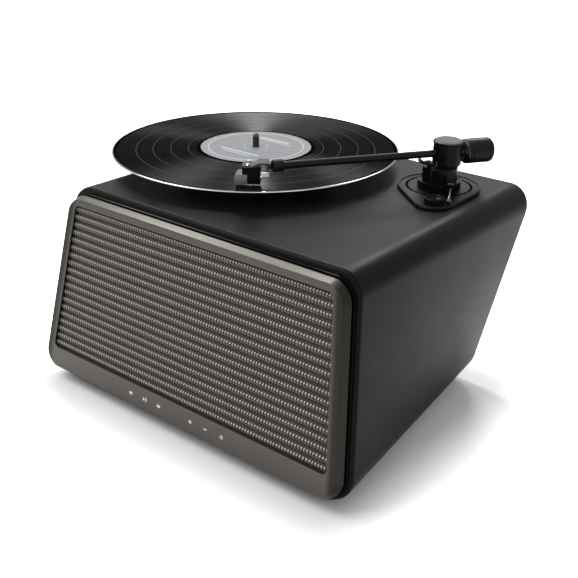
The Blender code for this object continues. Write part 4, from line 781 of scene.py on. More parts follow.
LEATHER = Leather("pebbled_leather", (0.005, 0.005, 0.0052), 0.34, specular=0.05, relief=0.00003, fade=0.25)
GUNMETAL = FrameMetal("brushed_gunmetal", (0.068, 0.063, 0.055), 0.34, METAL, relief=0.000006, fade=0.12)
GUNMETAL_CAP = TurnedMetal("turned_gunmetal", (0.030, 0.030, 0.029), 0.5, METAL, relief=0.000004)
DIAL_METAL = TurnedMetal("turned_dark", (0.030, 0.030, 0.029), 0.34, METAL, relief=0.000004)
TRIM = Finish("gloss_trim", (0.003, 0.003, 0.003), 0.20, specular=0.02, fade=0.1, relief=0.000002)
SATIN = Finish(
    "satin_black_paint", (0.004, 0.004, 0.004), 0.28, specular=0.06, grain=0.00025, relief=0.000008
)
MOULDED = Finish(
    "moulded_black", (0.006, 0.006, 0.006), 0.36, specular=0.10, grain=0.0003, relief=0.000015
)
PLATE = RingedPlate(
    "moulded_plate", (0.004, 0.004, 0.004), 0.36, specular=0.06, grain=0.0003, relief=0.00001
)
ARM_PAINT = Finish(
    "arm_black_paint", (0.006, 0.006, 0.006), 0.40, specular=0.10, grain=0.0002, relief=0.000006
)
VINYL = Vinyl("pressed_vinyl", (0.028, 0.028, 0.028), 0.22, METAL, spin=1.0)
LABEL = LabelPaper("label_paper", (0.165, 0.172, 0.181), 0.55, specular=0.15, relief=0.00001, fade=0.08)
ALLOY = TurnedMetal("cast_alloy", (0.34, 0.34, 0.35), 0.35, METAL, relief=0.00001, spin=0.4)
STEEL = TurnedMetal("bright_steel", (0.62, 0.62, 0.63), 0.18, METAL, relief=0.000002)
PLATED = Finish("plated_wire", (0.70, 0.70, 0.70), 0.16, METAL, relief=0.000002, fade=0.1)
DARK_CHROME = TurnedMetal("dark_chrome", (0.060, 0.060, 0.060), 0.14, METAL, relief=0.000002)
SHELL_SILVER = BrushedMetal("shell_silver", (0.026, 0.026, 0.0255), 0.24, METAL, relief=0.000003)
BRONZE = BrushedMetal("stylus_bronze", (0.095, 0.086, 0.077), 0.26, METAL, relief=0.000004)
RUBBER = Finish("moulded_rubber", (0.020, 0.020, 0.020), 0.78, grain=0.0006, relief=0.00004)
BOARD = Finish(
    "stained_board", (0.020, 0.019, 0.018), 0.66, specular=0.12, grain=0.0012, relief=0.00005, fade=0.45
)
CIRCUIT = CircuitBoard("green_circuit", (0.015, 0.085, 0.040), 0.42, relief=0.00002)
CONE = PulpCone("pulp_cone", (0.030, 0.030, 0.030), 0.85, relief=0.00005)
PRINT = Finish("white_print", (0.72, 0.72, 0.70), 0.5, fade=0.08, relief=0.000002)
FLOOR = ShadowFloor("pale_floor", (0.90, 0.90, 0.90), 0.7)


def cloth_finish(low: float, rib: float) -> GrilleCloth:
    """The cloth's finish, whose rows of stitches follow the ribs."""
    return GrilleCloth("corded_cloth", (0.024, 0.021, 0.018), 0.9, relief=0.0003, low=low, rib=rib)


def join_loops(bm: bmesh.types.BMesh, loops: Sequence[Sequence[Point]], ring: bool, capped: bool) -> None:
    """Joins loops of equally many points by faces.

    Args:
        bm: the mesh that they are added to.
        loops: the loops in order.
        ring: whether the last loop joins the first.
        capped: whether the first and the last loop are filled.
    """
    rows = [[bm.verts.new(point) for point in loop] for loop in loops]
    pairs = list(zip(rows, rows[1:] + rows[:1]))
    for near, far in pairs if ring else pairs[:-1]:
        for i in range(len(near)):
            j = (i + 1) % len(near)
            bm.faces.new((near[i], near[j], far[j], far[i]))
    if capped:
        bm.faces.new(rows[0])
        bm.faces.new(rows[-1])


def closed(bm: bmesh.types.BMesh, name: str) -> bpy.types.Mesh:
    """Welds a mesh, turns its faces outwards and stores it."""
    bmesh.ops.remove_doubles(bm, verts=bm.verts, dist=WELD)
    bmesh.ops.recalc_face_normals(bm, faces=bm.faces)
    mesh = bpy.data.meshes.new(name)
    bm.to_mesh(mesh)
    bm.free()
    return mesh


def loft(name: str, loops: Sequence[Sequence[Point]], ring: bool) -> bpy.types.Mesh:
    """A closed skin through loops, which either meet again or are filled at both ends."""
    bm = bmesh.new()
    join_loops(bm, loops, ring, not ring)
    return closed(bm, name)


def plates(name: str, outlines: Iterable[Sequence[Flat]], low: float, high: float) -> bpy.types.Mesh:
    """Flat plates between two heights, one for each outline."""
    bm = bmesh.new()
    for outline in outlines:
        join_loops(bm, [[(x, y, z) for x, y in outline] for z in (low, high)], False, True)
    return closed(bm, name)


def lathe(
    name: str,
    profile: Sequence[Flat],
    steps: int,
    ring: bool = False,
    reach: Callable[[float, int], float] | None = None,
) -> bpy.types.Mesh:
    """Turns a profile of (radius, height) points round Z.

    Args:
        name: the mesh's name.
        profile: the points. A solid one starts and ends on the axis.
        steps: how many times it is repeated round the axis.
        ring: whether the last point joins the first.
        reach: changes a radius, given the radius and the number of the step.

    Returns:
        The closed mesh.
    """
    loops = []
    for radius, height in profile:
        loop = []
        for step in range(steps):
            angle = 2 * math.pi * step / steps
            out = reach(radius, step) if reach else radius
            loop.append((out * math.cos(angle), out * math.sin(angle), height))
        loops.append(loop)
    bm = bmesh.new()
    join_loops(bm, loops, ring, False)
    return closed(bm, name)


def welded(source: bpy.types.Mesh, name: str, merge_flat: bool) -> bpy.types.Mesh:
    """A copy of a CAD mesh whose loose triangles are joined.

    Args:
        source: the CAD node's mesh.
        name: the copy's name.
        merge_flat: whether flat neighbours become one face, which a bevel needs.

    Returns:
        The copy.
    """
    bm = bmesh.new()
    verts = [bm.verts.new(vertex.co) for vertex in source.vertices]
    for polygon in source.polygons:
        bm.faces.new([verts[i] for i in polygon.vertices])
    bmesh.ops.remove_doubles(bm, verts=bm.verts, dist=WELD)
    if merge_flat:
        bmesh.ops.dissolve_limit(bm, angle_limit=math.radians(FLAT_ANGLE), verts=bm.verts, edges=bm.edges)
    return closed(bm, name)


def soften(obj: bpy.types.Object, crease: float = 32.0, bevel: float = 0.0) -> None:
    """Shades a piece smooth, with crisp or bevelled edges.

    Args:
        obj: the piece.
        crease: the angle from which an edge is an edge.
        bevel: the width of the edge's rounding, or nought for a crisp edge.
    """
    obj.data.shade_smooth()
    if bevel:
        rounding = obj.modifiers.new("edge_rounding", "BEVEL")
        rounding.width = bevel
        rounding.segments = 2
        rounding.limit_method = "ANGLE"
        rounding.angle_limit = math.radians(crease)
        rounding.use_clamp_overlap = True
    else:
        obj.data.set_sharp_from_angle(angle=math.radians(crease))
    normals = obj.modifiers.new("flat_faces_stay_flat", "WEIGHTED_NORMAL")
    normals.keep_sharp = not bevel


def arc(radius: float, first: float, last: float, steps: int, centre: Flat = (0.0, 0.0)) -> list[Flat]:
    """Points on an arc between two angles in radians, both ends among them."""
    angles = [first + (last - first) * i / (steps - 1) for i in range(steps)]
    return [(centre[0] + radius * math.cos(a), centre[1] + radius * math.sin(a)) for a in angles]


class Workshop:
    """Makes pieces, gives each its finish and body, and reports it."""

    def __init__(self, nodes: dict[str, bpy.types.Object]) -> None:
        """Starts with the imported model's nodes."""
        self.nodes = nodes
        self.count = 0

    def report(self, name: str, finish: Finish, body: str) -> None:
        """Logs one dressed piece."""
        self.count += 1
        LOG.info("%s: %s, rides %s", name, finish.name, body)

    def keep(self, finish: Finish, *nodes: str) -> None:
        """Gives CAD nodes, whose own shape stays, their finish."""
        for node in nodes:
            obj = self.nodes[node]
            for slot in obj.material_slots:
                slot.material = finish.material()
            self.report(node, finish, obj["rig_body"])

    def skin(self, node: str, finish: Finish, place: Matrix = WORLD, **edges: float) -> None:
        """Replaces a CAD node by a smoothly shaded skin of the same shape.

        Args:
            node: the node's name.
            finish: what the skin is finished in.
            place: the frame that the finish is drawn in.
            edges: the crease and the bevel, as soften takes them.
        """
        source = self.nodes[node]
        mesh = welded(source.data, node + "_skin", "bevel" in edges)
        mesh.transform(place.inverted())
        slot = source.material_slots[0].material.name
        self.add(node, mesh, finish, source["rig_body"], slot, place, **edges)

    def add(
        self,
        node: str,
        mesh: bpy.types.Mesh,
        finish: Finish,
        body: str,
        slot: str,
        place: Matrix = WORLD,
        **edges: float,
    ) -> bpy.types.Object:
        """Adds a piece. It replaces the CAD node of its name, where there is one.

        Args:
            node: the node that it stands for, or a new piece's name.
            mesh: its mesh, in the frame of its place.
            finish: its finish.
            body: the body that it rides on.
            slot: the record's slot, which is not used.
            place: its frame.
            edges: the crease and the bevel, as soften takes them.

        Returns:
            The piece.
        """
        name = node + "_skin" if node in self.nodes else node
        obj = bpy.data.objects.new(name, mesh)
        bpy.context.scene.collection.objects.link(obj)
        obj.matrix_world = place
        mesh.materials.append(finish.material())
        soften(obj, **edges)
        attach(obj, body)
        if node in self.nodes:
            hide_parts(node)
        self.report(name, finish, body)
        return obj


@dataclass
class Trapezoid:
    """A trapezoid with rounded corners, in the x and y of its own plane."""

    half_low: float
    half_high: float
    low: float
    high: float
    corner: float

    def slope(self) -> float:
        """How fast a side draws in with height."""
        return (self.half_low - self.half_high) / (self.high - self.low)

    def half_at(self, height: float) -> float:
        """Half the width at a height."""
        return self.half_low - self.slope() * (height - self.low)

    def grown(self, by: float) -> "Trapezoid":
        """The same outline moved outwards all round."""
        slope = self.slope()
        side = by * math.hypot(1, slope)
        low, high = self.half_low + side + slope * by, self.half_high + side - slope * by
        return Trapezoid(low, high, self.low - by, self.high + by, self.corner + by)

    def points(self, steps: int, side_steps: int) -> list[Flat]:
        """Its points, anticlockwise from the bottom right corner.

        Args:
            steps: the points on each corner.
            side_steps: how many parts each side is cut into.

        Returns:
            The points.
        """
        slope = self.slope()
        side_angle = math.atan(slope)
        corners = []
        for height, first, last in (
            (self.low + self.corner, -math.pi / 2, side_angle),
            (self.high - self.corner, side_angle, math.pi / 2),
        ):
            centre = self.half_at(height) - self.corner * math.hypot(1, slope)
            corners.append(arc(self.corner, first, last, steps, (centre, height)))
        start, end = Vector(corners[0][-1]), Vector(corners[1][0])
        side = [tuple(start.lerp(end, i / side_steps)) for i in range(1, side_steps)]
        right = corners[0] + side + corners[1]
        return right + [(-x, y) for x, y in reversed(right)]


@dataclass
class Cabinet:
    """The leather-wrapped tube of the cabinet, its feet and the boards that close it."""

    height: float = 0.1921
    lift: float = 0.0083
    margin: float = 0.0083
    corner: float = 0.0237
    lip: float = 0.0036
    wall: float = 0.011
    rear_half_low: float = 0.1562
    rear_half_high: float = 0.1774
    bearing_hole: float = 0.0095
    motor_hole: float = 0.0071
    tower_hole: float = 0.0095
    hole_depth: float = 0.013
    hole_over: float = 0.002
    hole_steps: int = 32
    corner_steps: int = 14
    side_steps: int = 6
    depth_steps: int = 12
    lip_steps: int = 6

    def front_loop(self, face: Trapezoid, inset: float, depth: float) -> list[Vector]:
        """The section behind the leaning face, level with the deck and the bottom.

        Args:
            face: the metal frame's outline.
            inset: how far it is drawn in.
            depth: how far it lies behind the front lip.

        Returns:
            Its points.
        """
        lean = math.radians(FACE_TILT)
        low = (FACE_STANDS_OFF * math.sin(lean) - self.lift) / math.cos(lean)
        high = low + self.height / math.cos(lean)
        grown = face.grown(self.margin)
        section = Trapezoid(grown.half_at(low), grown.half_at(high), low, high, self.corner).grown(-inset)
        rise = depth * math.tan(lean)
        points = section.points(self.corner_steps, self.side_steps)
        return [face_matrix() @ Vector((x, y + rise, -FACE_STANDS_OFF - depth)) for x, y in points]

    def rear_loop(self, inset: float, depth: float) -> list[Vector]:
        """The section at the rear plane, in the same order as the front one."""
        run = REAR_TOP[1] - REAR_BOTTOM[1]
        high = math.hypot(run, self.height)
        section = Trapezoid(self.rear_half_low, self.rear_half_high, 0, high, self.corner).grown(-inset)
        rise = -depth * run / self.height
        points = section.points(self.corner_steps, self.side_steps)
        return [rear_matrix() @ Vector((x, y + rise, -depth)) for x, y in points][::-1]

    def lips(self) -> list[Flat]:
        """Insets and depths of the quarter-round lip."""
        angles = [math.pi / 2 * step / self.lip_steps for step in range(self.lip_steps + 1)]
        return [(self.lip * (1 - math.sin(a)), self.lip * (1 - math.cos(a))) for a in angles]

    def between(self, near: list[Vector], far: list[Vector]) -> list[list[Vector]]:
        """The loops between two loops, in equal steps."""
        shares = [step / self.depth_steps for step in range(1, self.depth_steps)]
        return [[a.lerp(b, share) for a, b in zip(near, far)] for share in shares]

    def build(self, shop: Workshop, face: Trapezoid) -> None:
        """Builds the wrapped tube with its holes, and dresses the rest of the cabinet."""
        front = [self.front_loop(face, inset, depth) for inset, depth in self.lips()]
        rear = [self.rear_loop(inset, depth) for inset, depth in reversed(self.lips())]
        inner_front, inner_rear = self.front_loop(face, self.wall, 0), self.rear_loop(self.wall, 0)
        loops = front + self.between(front[-1], rear[0]) + rear
        loops += [inner_rear] + self.between(inner_rear, inner_front) + [inner_front]
        mesh = loft("cabinet_shell", loops, True)
        shell = shop.add("cabinet_shell", mesh, LEATHER, Body.CABINET, Slot.LEATHER)
        self.drill(shell, "bearing", RECORD_AXIS, self.bearing_hole)
        self.drill(shell, "motor", MOTOR_AXIS, self.motor_hole)
        self.drill(shell, "tower", TOWER_AXIS, self.tower_hole)
        for corner in ("front_left", "front_right", "rear_left", "rear_right"):
            low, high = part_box("foot_" + corner)
            middle = Matrix.Translation(((low.x + high.x) / 2, (low.y + high.y) / 2, 0))
            shop.skin("foot_" + corner, RUBBER, middle)
        shop.keep(BOARD, "front_baffle")
        shop.skin("rear_panel", BOARD, rear_matrix())

    def drill(self, shell: bpy.types.Object, name: str, axis: Flat, radius: float) -> None:
        """Cuts one of the deck's round holes.

        Args:
            shell: the wrapped tube.
            name: what goes through the hole.
            axis: where it is on the deck.
            radius: its radius.
        """
        top, bottom = self.hole_over, -self.hole_depth
        profile = [(0, top), (radius, top), (radius, bottom), (0, bottom)]
        cutter = bpy.data.objects.new(name + "_hole", lathe(name + "_hole", profile, self.hole_steps))
        bpy.context.scene.collection.objects.link(cutter)
        cutter.matrix_world = deck_matrix(axis)
        modifier = shell.modifiers.new(name + "_hole", "BOOLEAN")
        modifier.operation = "DIFFERENCE"
        modifier.solver = "EXACT"
        modifier.object = cutter
        shell.modifiers.move(len(shell.modifiers) - 1, 0)
        with bpy.context.temp_override(object=shell, active_object=shell, selected_objects=[shell]):
            bpy.ops.object.modifier_apply(modifier=modifier.name)
        bpy.data.objects.remove(cutter)


@dataclass
class FrontPanel:
    """The metal frame, the dark ring behind it, the touch keys' marks and the ribbed cloth."""

    half_low: float = 0.1864
    half_high: float = 0.1642
    height: float = 0.1787
    corner: float = 0.017
    side_margin: float = 0.0095
    top_margin: float = 0.0067
    strip: float = 0.0209
    window_corner: float = 0.005
    flare: float = 0.0033
    rim_depth: float = 0.0068
    depth: float = 0.0079
    wall: float = 0.0028
    plate: float = 0.0018
    edge: float = 0.0006
    neck: float = 0.0012
    bead: float = 0.0052
    ribs: int = 19
    rib_height: float = 0.0012
    rib_steps: int = 10
    cloth_tuck: float = 0.003
    cloth_back: float = 0.0020
    corner_steps: int = 16
    side_steps: int = 4
    edge_steps: int = 3

    def face(self) -> Trapezoid:
        """The frame's outer outline."""
        return Trapezoid(self.half_low, self.half_high, 0, self.height, self.corner)

    def window(self) -> Trapezoid:
        """The opening that the cloth fills."""
        low, high = self.strip, self.height - self.top_margin
        halves = [self.face().half_at(height) - self.side_margin for height in (low, high)]
        return Trapezoid(*halves, low, high, self.window_corner)

    def add_ring(
        self,
        shop: Workshop,
        name: str,
        sections: Iterable[tuple[Trapezoid, float]],
        finish: Finish,
        slot: Slot,
    ) -> None:
        """Adds a ring that goes round the face.

        Args:
            shop: where pieces are made.
            name: the ring's name.
            sections: its outlines, each with its height out of the face.
            finish: its finish.
            slot: the record's slot, handed on to the workshop.
        """
        loops = []
        for outline, height in sections:
            points = outline.points(self.corner_steps, self.side_steps)
            loops.append([(x, y, height) for x, y in points])
        shop.add(name, loft(name, loops, True), finish, Body.CABINET, slot, face_matrix())

    def build_frame(self, shop: Workshop) -> None:
        """Builds the frame with its flared chamfer, and the ring that it stands on."""
        face, window = self.face(), self.window()
        flared = face.grown(self.flare)
        inside = flared.grown(-self.wall)
        turns = [math.pi / 2 * i / self.edge_steps for i in range(self.edge_steps + 1)]
        edges = [(self.edge * (1 - math.sin(a)), self.edge * (math.cos(a) - 1)) for a in turns]
        sections = [(face.grown(-inset), z) for inset, z in edges]
        sections += [
            (flared.grown(-self.edge / 3), -self.rim_depth + self.edge / 3),
            (flared, -self.rim_depth),
            (flared, -self.depth),
            (inside, -self.depth),
            (face.grown(-self.wall), -self.plate),
            (window, -self.plate),
        ]
        sections += [(window.grown(inset), z) for inset, z in reversed(edges)]
        self.add_ring(shop, "front_frame", sections, GUNMETAL, Slot.GUNMETAL)
        top, low = -self.depth - SEAT, -FACE_STANDS_OFF + SEAT
        shoulder = top - self.neck
        bead, throat = face.grown(self.bead), face.grown(-self.wall)
        sections = [
            (throat, top),
            (inside, top),
            (inside, shoulder),
            (bead.grown(-self.edge), shoulder),
            (bead, (shoulder + low) / 2),
            (bead.grown(-self.edge), low),
            (throat, low),
        ]
        self.add_ring(shop, "trim_ring", sections, TRIM, Slot.GLOSS)

    def build_cloth(self, shop: Workshop) -> None:
        """Builds the cloth as rounded ribs across the window, tucked behind the frame."""
        window = self.window()
        outline = window.grown(self.cloth_tuck)
        pitch = (window.high - window.low) / self.ribs
        crest = -self.plate - SEAT
        back = crest - 2 * self.rib_height - self.cloth_back
        extra = int(self.cloth_tuck / pitch * self.rib_steps)
        loops = []
        for i in range(-extra, self.ribs * self.rib_steps + extra + 1):
            height = window.low + pitch * i / self.rib_steps
            half = outline.half_at(height) - self.cloth_tuck / 2
            out = crest - self.rib_height * (1 + math.cos(2 * math.pi * i / self.rib_steps))
            corners = ((-half, back), (half, back), (half, out), (-half, out))
            loops.append([(x, height, z) for x, z in corners])
        mesh = loft("grille_cloth", loops, False)
        finish = cloth_finish(window.low, pitch)
        shop.add("grille_cloth", mesh, finish, Body.CABINET, Slot.CLOTH, face_matrix(), crease=50)

    def build_marks(self, shop: Workshop) -> None:
        """Prints a plain mark over each touch key, half-way up the lower strip."""
        middle = self.strip / 2
        for symbol, x in (
            (Symbol.BACK, -0.0577),
            (Symbol.PLAY_PAUSE, -0.0383),
            (Symbol.FORWARD, -0.0192),
            (Symbol.PLUS, 0.0217),
            (Symbol.MINUS, 0.0407),
            (Symbol.SOURCE, 0.0604),
        ):
            name = "mark_" + symbol.value
            outlines = [[(x + a, middle + b) for a, b in outline] for outline in symbol_outlines(symbol)]
            mesh = plates(name, outlines, PRINT_LOW, PRINT_HIGH)
            shop.add(name, mesh, PRINT, Body.CABINET, Slot.SILVER, face_matrix())

    def build(self, shop: Workshop) -> None:
        """Builds the whole front."""
        self.build_frame(shop)
        self.build_cloth(shop)
        self.build_marks(shop)
        shop.keep(CIRCUIT, "touch_board")


def symbol_outlines(symbol: Symbol, half: float = 0.0019) -> list[list[Flat]]:
    """The flat outlines of a printed mark round its own middle.

    Args:
        symbol: which mark.
        half: half its height.

    Returns:
        A list of outlines.
    """
    bar = half * 0.28
    wide = half * 1.2

    def triangle(x: float, way: int) -> list[Flat]:
        """A triangle that points along X from x."""
        return [(x, -half), (x + way * wide, 0), (x, half)]

    def box(x0: float, x1: float, y0: float, y1: float) -> list[Flat]:
        """An upright rectangle."""
        return [(x0, y0), (x1, y0), (x1, y1), (x0, y1)]

    if symbol is Symbol.BACK:
        return [triangle(0, -1), triangle(wide, -1)]
    if symbol is Symbol.FORWARD:
        return [triangle(-wide, 1), triangle(0, 1)]
    if symbol is Symbol.PLAY_PAUSE:
        bars = [box(half * x, half * (x + 0.35), -half, half) for x in (0.35, 1.0)]
        return [triangle(-wide, 1)] + bars
    if symbol is Symbol.MINUS:
        return [box(-half, half, -bar, bar)]
    if symbol is Symbol.PLUS:
        sides = [box(bar, half, -bar, bar), box(-half, -bar, -bar, bar)]
        return sides + [box(-bar, bar, -half, half)]
    steps = 24
    outer, inner = (arc(radius, 0, 2 * math.pi, steps + 1) for radius in (half, half * 0.7))
    ring = [[outer[i], outer[i + 1], inner[i + 1], inner[i]] for i in range(steps)]
    return ring + [box(-bar, bar, -bar, bar)]


@dataclass
class Record:
    """The record with its beaded edge and label, and the platter, mat, spindle and drive under it."""

    radius: float = 0.1505
    top: float = 0.0156
    thickness: float = 0.002
    bead: float = 0.0042
    drop: float = 0.0003
    label_radius: float = 0.0584
    label_thickness: float = 0.0002
    label_gap: float = 0.0001
    label_edge: float = 0.0002
    seat_slope: float = 0.0007
    spindle_radius: float = 0.0035
    steps: int = 180

    def side(self, face: float, way: int) -> list[Flat]:
        """One face's points from the label out to the rim.

        Args:
            face: the height of the face.
            way: one for the top and minus one for the underside.

        Returns:
            Its points.
        """
        groove = self.radius - self.bead
        low = face - way * self.drop
        seat = self.label_radius + self.label_gap
        crown = [
            (groove + self.bead * share, face - way * self.drop * (1 - math.sin(math.pi * min(share, 0.5))))
            for share in (0.0, 0.12, 0.25, 0.4, 0.55)
        ]
        return [(seat, face), (seat + self.seat_slope, low), ((seat + groove) / 2, low)] + crown

    def build_disc(self, shop: Workshop, axis: Matrix, bore: float) -> None:
        """Builds the disc, sunk where the label lies."""
        low, half = self.top - self.thickness, self.thickness / 2
        seat = self.top - self.label_thickness - self.label_gap
        rim = [
            (self.radius - half * (1 - math.cos(a)), self.top - half + half * math.sin(a))
            for a in (math.radians(angle) for angle in (60, 30, 0, -30, -60))
        ]
        profile = [(bore, seat), (self.label_radius + self.label_gap, seat)] + self.side(self.top, 1) + rim
        profile += self.side(low, -1)[::-1] + [(bore, low)]
        mesh = lathe("record_disc", profile, self.steps, ring=True)
        shop.add("record_disc", mesh, VINYL, Body.PLATTER, Slot.VINYL, axis, crease=50)

    def build_label(self, shop: Workshop, axis: Matrix, bore: float) -> None:
        """Builds the paper label with a softened edge."""
        low = self.top - self.label_thickness
        profile = [
            (bore, self.top),
            (self.label_radius - self.label_edge, self.top),
            (self.label_radius, self.top - self.label_edge / 2),
            (self.label_radius, low),
            (bore, low),
        ]
        mesh = lathe("record_label", profile, self.steps, ring=True)
        shop.add("record_label", mesh, LABEL, Body.PLATTER, Slot.LABEL, axis)

    def build(self, shop: Workshop) -> None:
        """Builds the record and its label, and dresses what turns and drives it."""
        axis = deck_matrix(RECORD_AXIS)
        bore = self.spindle_radius + SEAT
        self.build_disc(shop, axis, bore)
        self.build_label(shop, axis, bore)
        shop.skin("platter", ALLOY, axis)
        shop.skin("slip_mat", RUBBER, axis)
        shop.skin("spindle", DARK_CHROME, axis, crease=50)
        shop.skin("drive_belt", RUBBER, axis)
        shop.skin("motor_pulley", STEEL)
        shop.keep(STEEL, "bearing_housing", "motor")
        shop.keep(SHELL_SILVER, "deck_chassis")


@dataclass
class Tower:
    """The tonearm's base plate, tower, anti-skating knob and cueing parts."""

    knob_face: float = 0.0070
    line_start: float = 0.0022
    line_end: float = 0.0068
    line_half: float = 0.0002

    def build(self, shop: Workshop) -> None:
        """Dresses the fixed parts round the pivot and what is worked by hand."""
        tower, knob = deck_matrix(TOWER_AXIS), deck_matrix(KNOB_AXIS)
        shop.skin("arm_base_plate", PLATE, tower)
        shop.skin("tower_housing", SATIN, tower)
        shop.skin("anti_skate_knob", SATIN, knob)
        shop.skin("lift_bar", SATIN, deck_matrix(PIVOT_AXIS), bevel=FINE_EDGE)
        shop.skin("lever_bracket", SATIN, bevel=FINE_EDGE)
        shop.skin("cue_lever", DARK_CHROME, crease=50)
        shop.skin("arm_rest", SATIN, bevel=FINE_EDGE)
        self.build_index(shop, knob)

    def build_index(self, shop: Workshop, knob: Matrix) -> None:
        """Prints the index line on the knob."""
        near, far, half = self.line_start, self.line_end, self.line_half
        line = [(near, -half), (far, -half), (far, half), (near, half)]
        mesh = plates("knob_line", [line], self.knob_face + PRINT_LOW, self.knob_face + PRINT_HIGH)
        shop.add("knob_line", mesh, PRINT, Body.KNOB, Slot.SILVER, knob)


@dataclass
class Arm:
    """The gimbal, the tube, the counterweight on its stub and the tracking-force dial."""

    weight_radius: float = 0.0122
    weight_start: float = 0.0199
    weight_end: float = 0.0482
    weight_edge: float = 0.0005
    dome: float = 0.0055
    dome_steps: int = 8
    floor: float = 0.0422
    bore: float = 0.0037
    far_groove: float = 0.0022
    near_groove: float = 0.0030
    groove_half: float = 0.0005
    groove_depth: float = 0.0004
    dial_start: float = 0.0152
    dial_neck: float = 0.0090
    dial_bevel: float = 0.0015
    flute_depth: float = 0.0003
    flutes: int = 60
    steps: int = 96

    def build(self, shop: Workshop) -> None:
        """Builds the fluted dial and the grooved weight, and dresses the gimbal and the tube."""
        arm, back = arm_matrix(), tube_matrix(False)
        shop.skin("gimbal_housing", SATIN, arm)
        shop.skin("gimbal_cap", GUNMETAL_CAP, arm)
        shop.keep(STEEL, "swing_pivot", "tilt_axle", "tilt_block", "counterweight_stub")
        shop.skin("arm_tube", ARM_PAINT, tube_matrix(True))
        self.build_weight(shop, back)
        self.build_dial(shop, back)

    def build_weight(self, shop: Workshop, back: Matrix) -> None:
        """Builds the counterweight with a domed end and two thin grooves."""
        radius, start, end = self.weight_radius, self.weight_start, self.weight_end
        dome = [
            (radius * math.cos(a), end - self.dome + self.dome * math.sin(a))
            for a in (math.pi / 2 * (1 - i / self.dome_steps) for i in range(self.dome_steps + 1))
        ]
        dome[0] = (0.0, end)
        grooves = []
        for middle in (end - self.dome - self.far_groove, start + self.near_groove):
            for height, depth in ((self.groove_half, 0), (0, self.groove_depth), (-self.groove_half, 0)):
                grooves.append((radius - depth, middle + height))
        profile = dome + grooves + [
            (radius, start + self.weight_edge),
            (radius - self.weight_edge, start),
            (self.bore, start),
            (self.bore, self.floor),
            (0, self.floor),
        ]
        mesh = lathe("counterweight", profile, self.steps)
        shop.add("counterweight", mesh, MOULDED, Body.WEIGHT, Slot.ARM, back)

    def build_dial(self, shop: Workshop, back: Matrix) -> None:
        """Builds the dial with a finely fluted grip and a plain bevel."""
        end = self.weight_start - SEAT
        grip = end - self.dial_bevel
        cut = self.weight_radius - self.flute_depth

        def fluted(radius: float, step: int) -> float:
            """Every other column of the grip is cut a little deeper."""
            return radius - (self.flute_depth if radius > cut + self.flute_depth / 2 and step % 2 else 0)

        profile = [
            (self.bore, end),
            (cut, end),
            (self.weight_radius, (end + grip) / 2),
            (cut, grip),
            (self.dial_neck, self.dial_start),
            (self.bore, self.dial_start),
        ]
        mesh = lathe("tracking_dial", profile, 2 * self.flutes, ring=True, reach=fluted)
        shop.add("tracking_dial", mesh, DIAL_METAL, Body.DIAL, Slot.GUNMETAL, back)


class Head:
    """The clamp collar, the bent headshell, the cartridge with its screws and pins, and the stylus."""

    def build(self, shop: Workshop) -> None:
        """Dresses the head in its own frame."""
        head = head_matrix()
        shop.skin("headshell_collar", ARM_PAINT, tube_matrix(True))
        shop.skin("headshell", SHELL_SILVER, head, bevel=FINE_EDGE)
        shop.skin("cartridge_body", TRIM, head, bevel=FINE_EDGE)
        shop.skin("stylus_holder", BRONZE, head, bevel=FINE_EDGE)
        shop.skin("contact_pins", PLATED, head)
        shop.skin("cantilever", PLATED, head, crease=60)
        shop.skin("cartridge_screw_left", PLATED, head)
        shop.skin("cartridge_screw_right", PLATED, head)


class Speakers:
    """The drivers behind the cloth."""

    def build(self, shop: Workshop) -> None:
        """Dresses the baskets, the cones and the tweeters."""
        shop.keep(SATIN, "woofer_left_basket", "woofer_right_basket")
        shop.keep(CONE, "woofer_left_cone", "woofer_right_cone")
        shop.keep(MOULDED, "tweeter_left", "tweeter_right")


class Rear:
    """The connector plate, its sockets and switch, and the amplifier board."""

    def build(self, shop: Workshop) -> None:
        """Dresses the rear panel's fittings."""
        rear = rear_matrix()
        shop.skin("connector_plate", SATIN, rear, bevel=FINE_EDGE)
        shop.skin("rca_left_socket", STEEL)
        shop.skin("rca_right_socket", STEEL)
        shop.skin("aux_socket", MOULDED)
        shop.skin("power_inlet", MOULDED)
        shop.skin("switch_housing", MOULDED, rear, bevel=FINE_EDGE)
        shop.skin("power_rocker", TRIM, rear, bevel=FINE_EDGE)
        shop.keep(CIRCUIT, "amplifier_board")


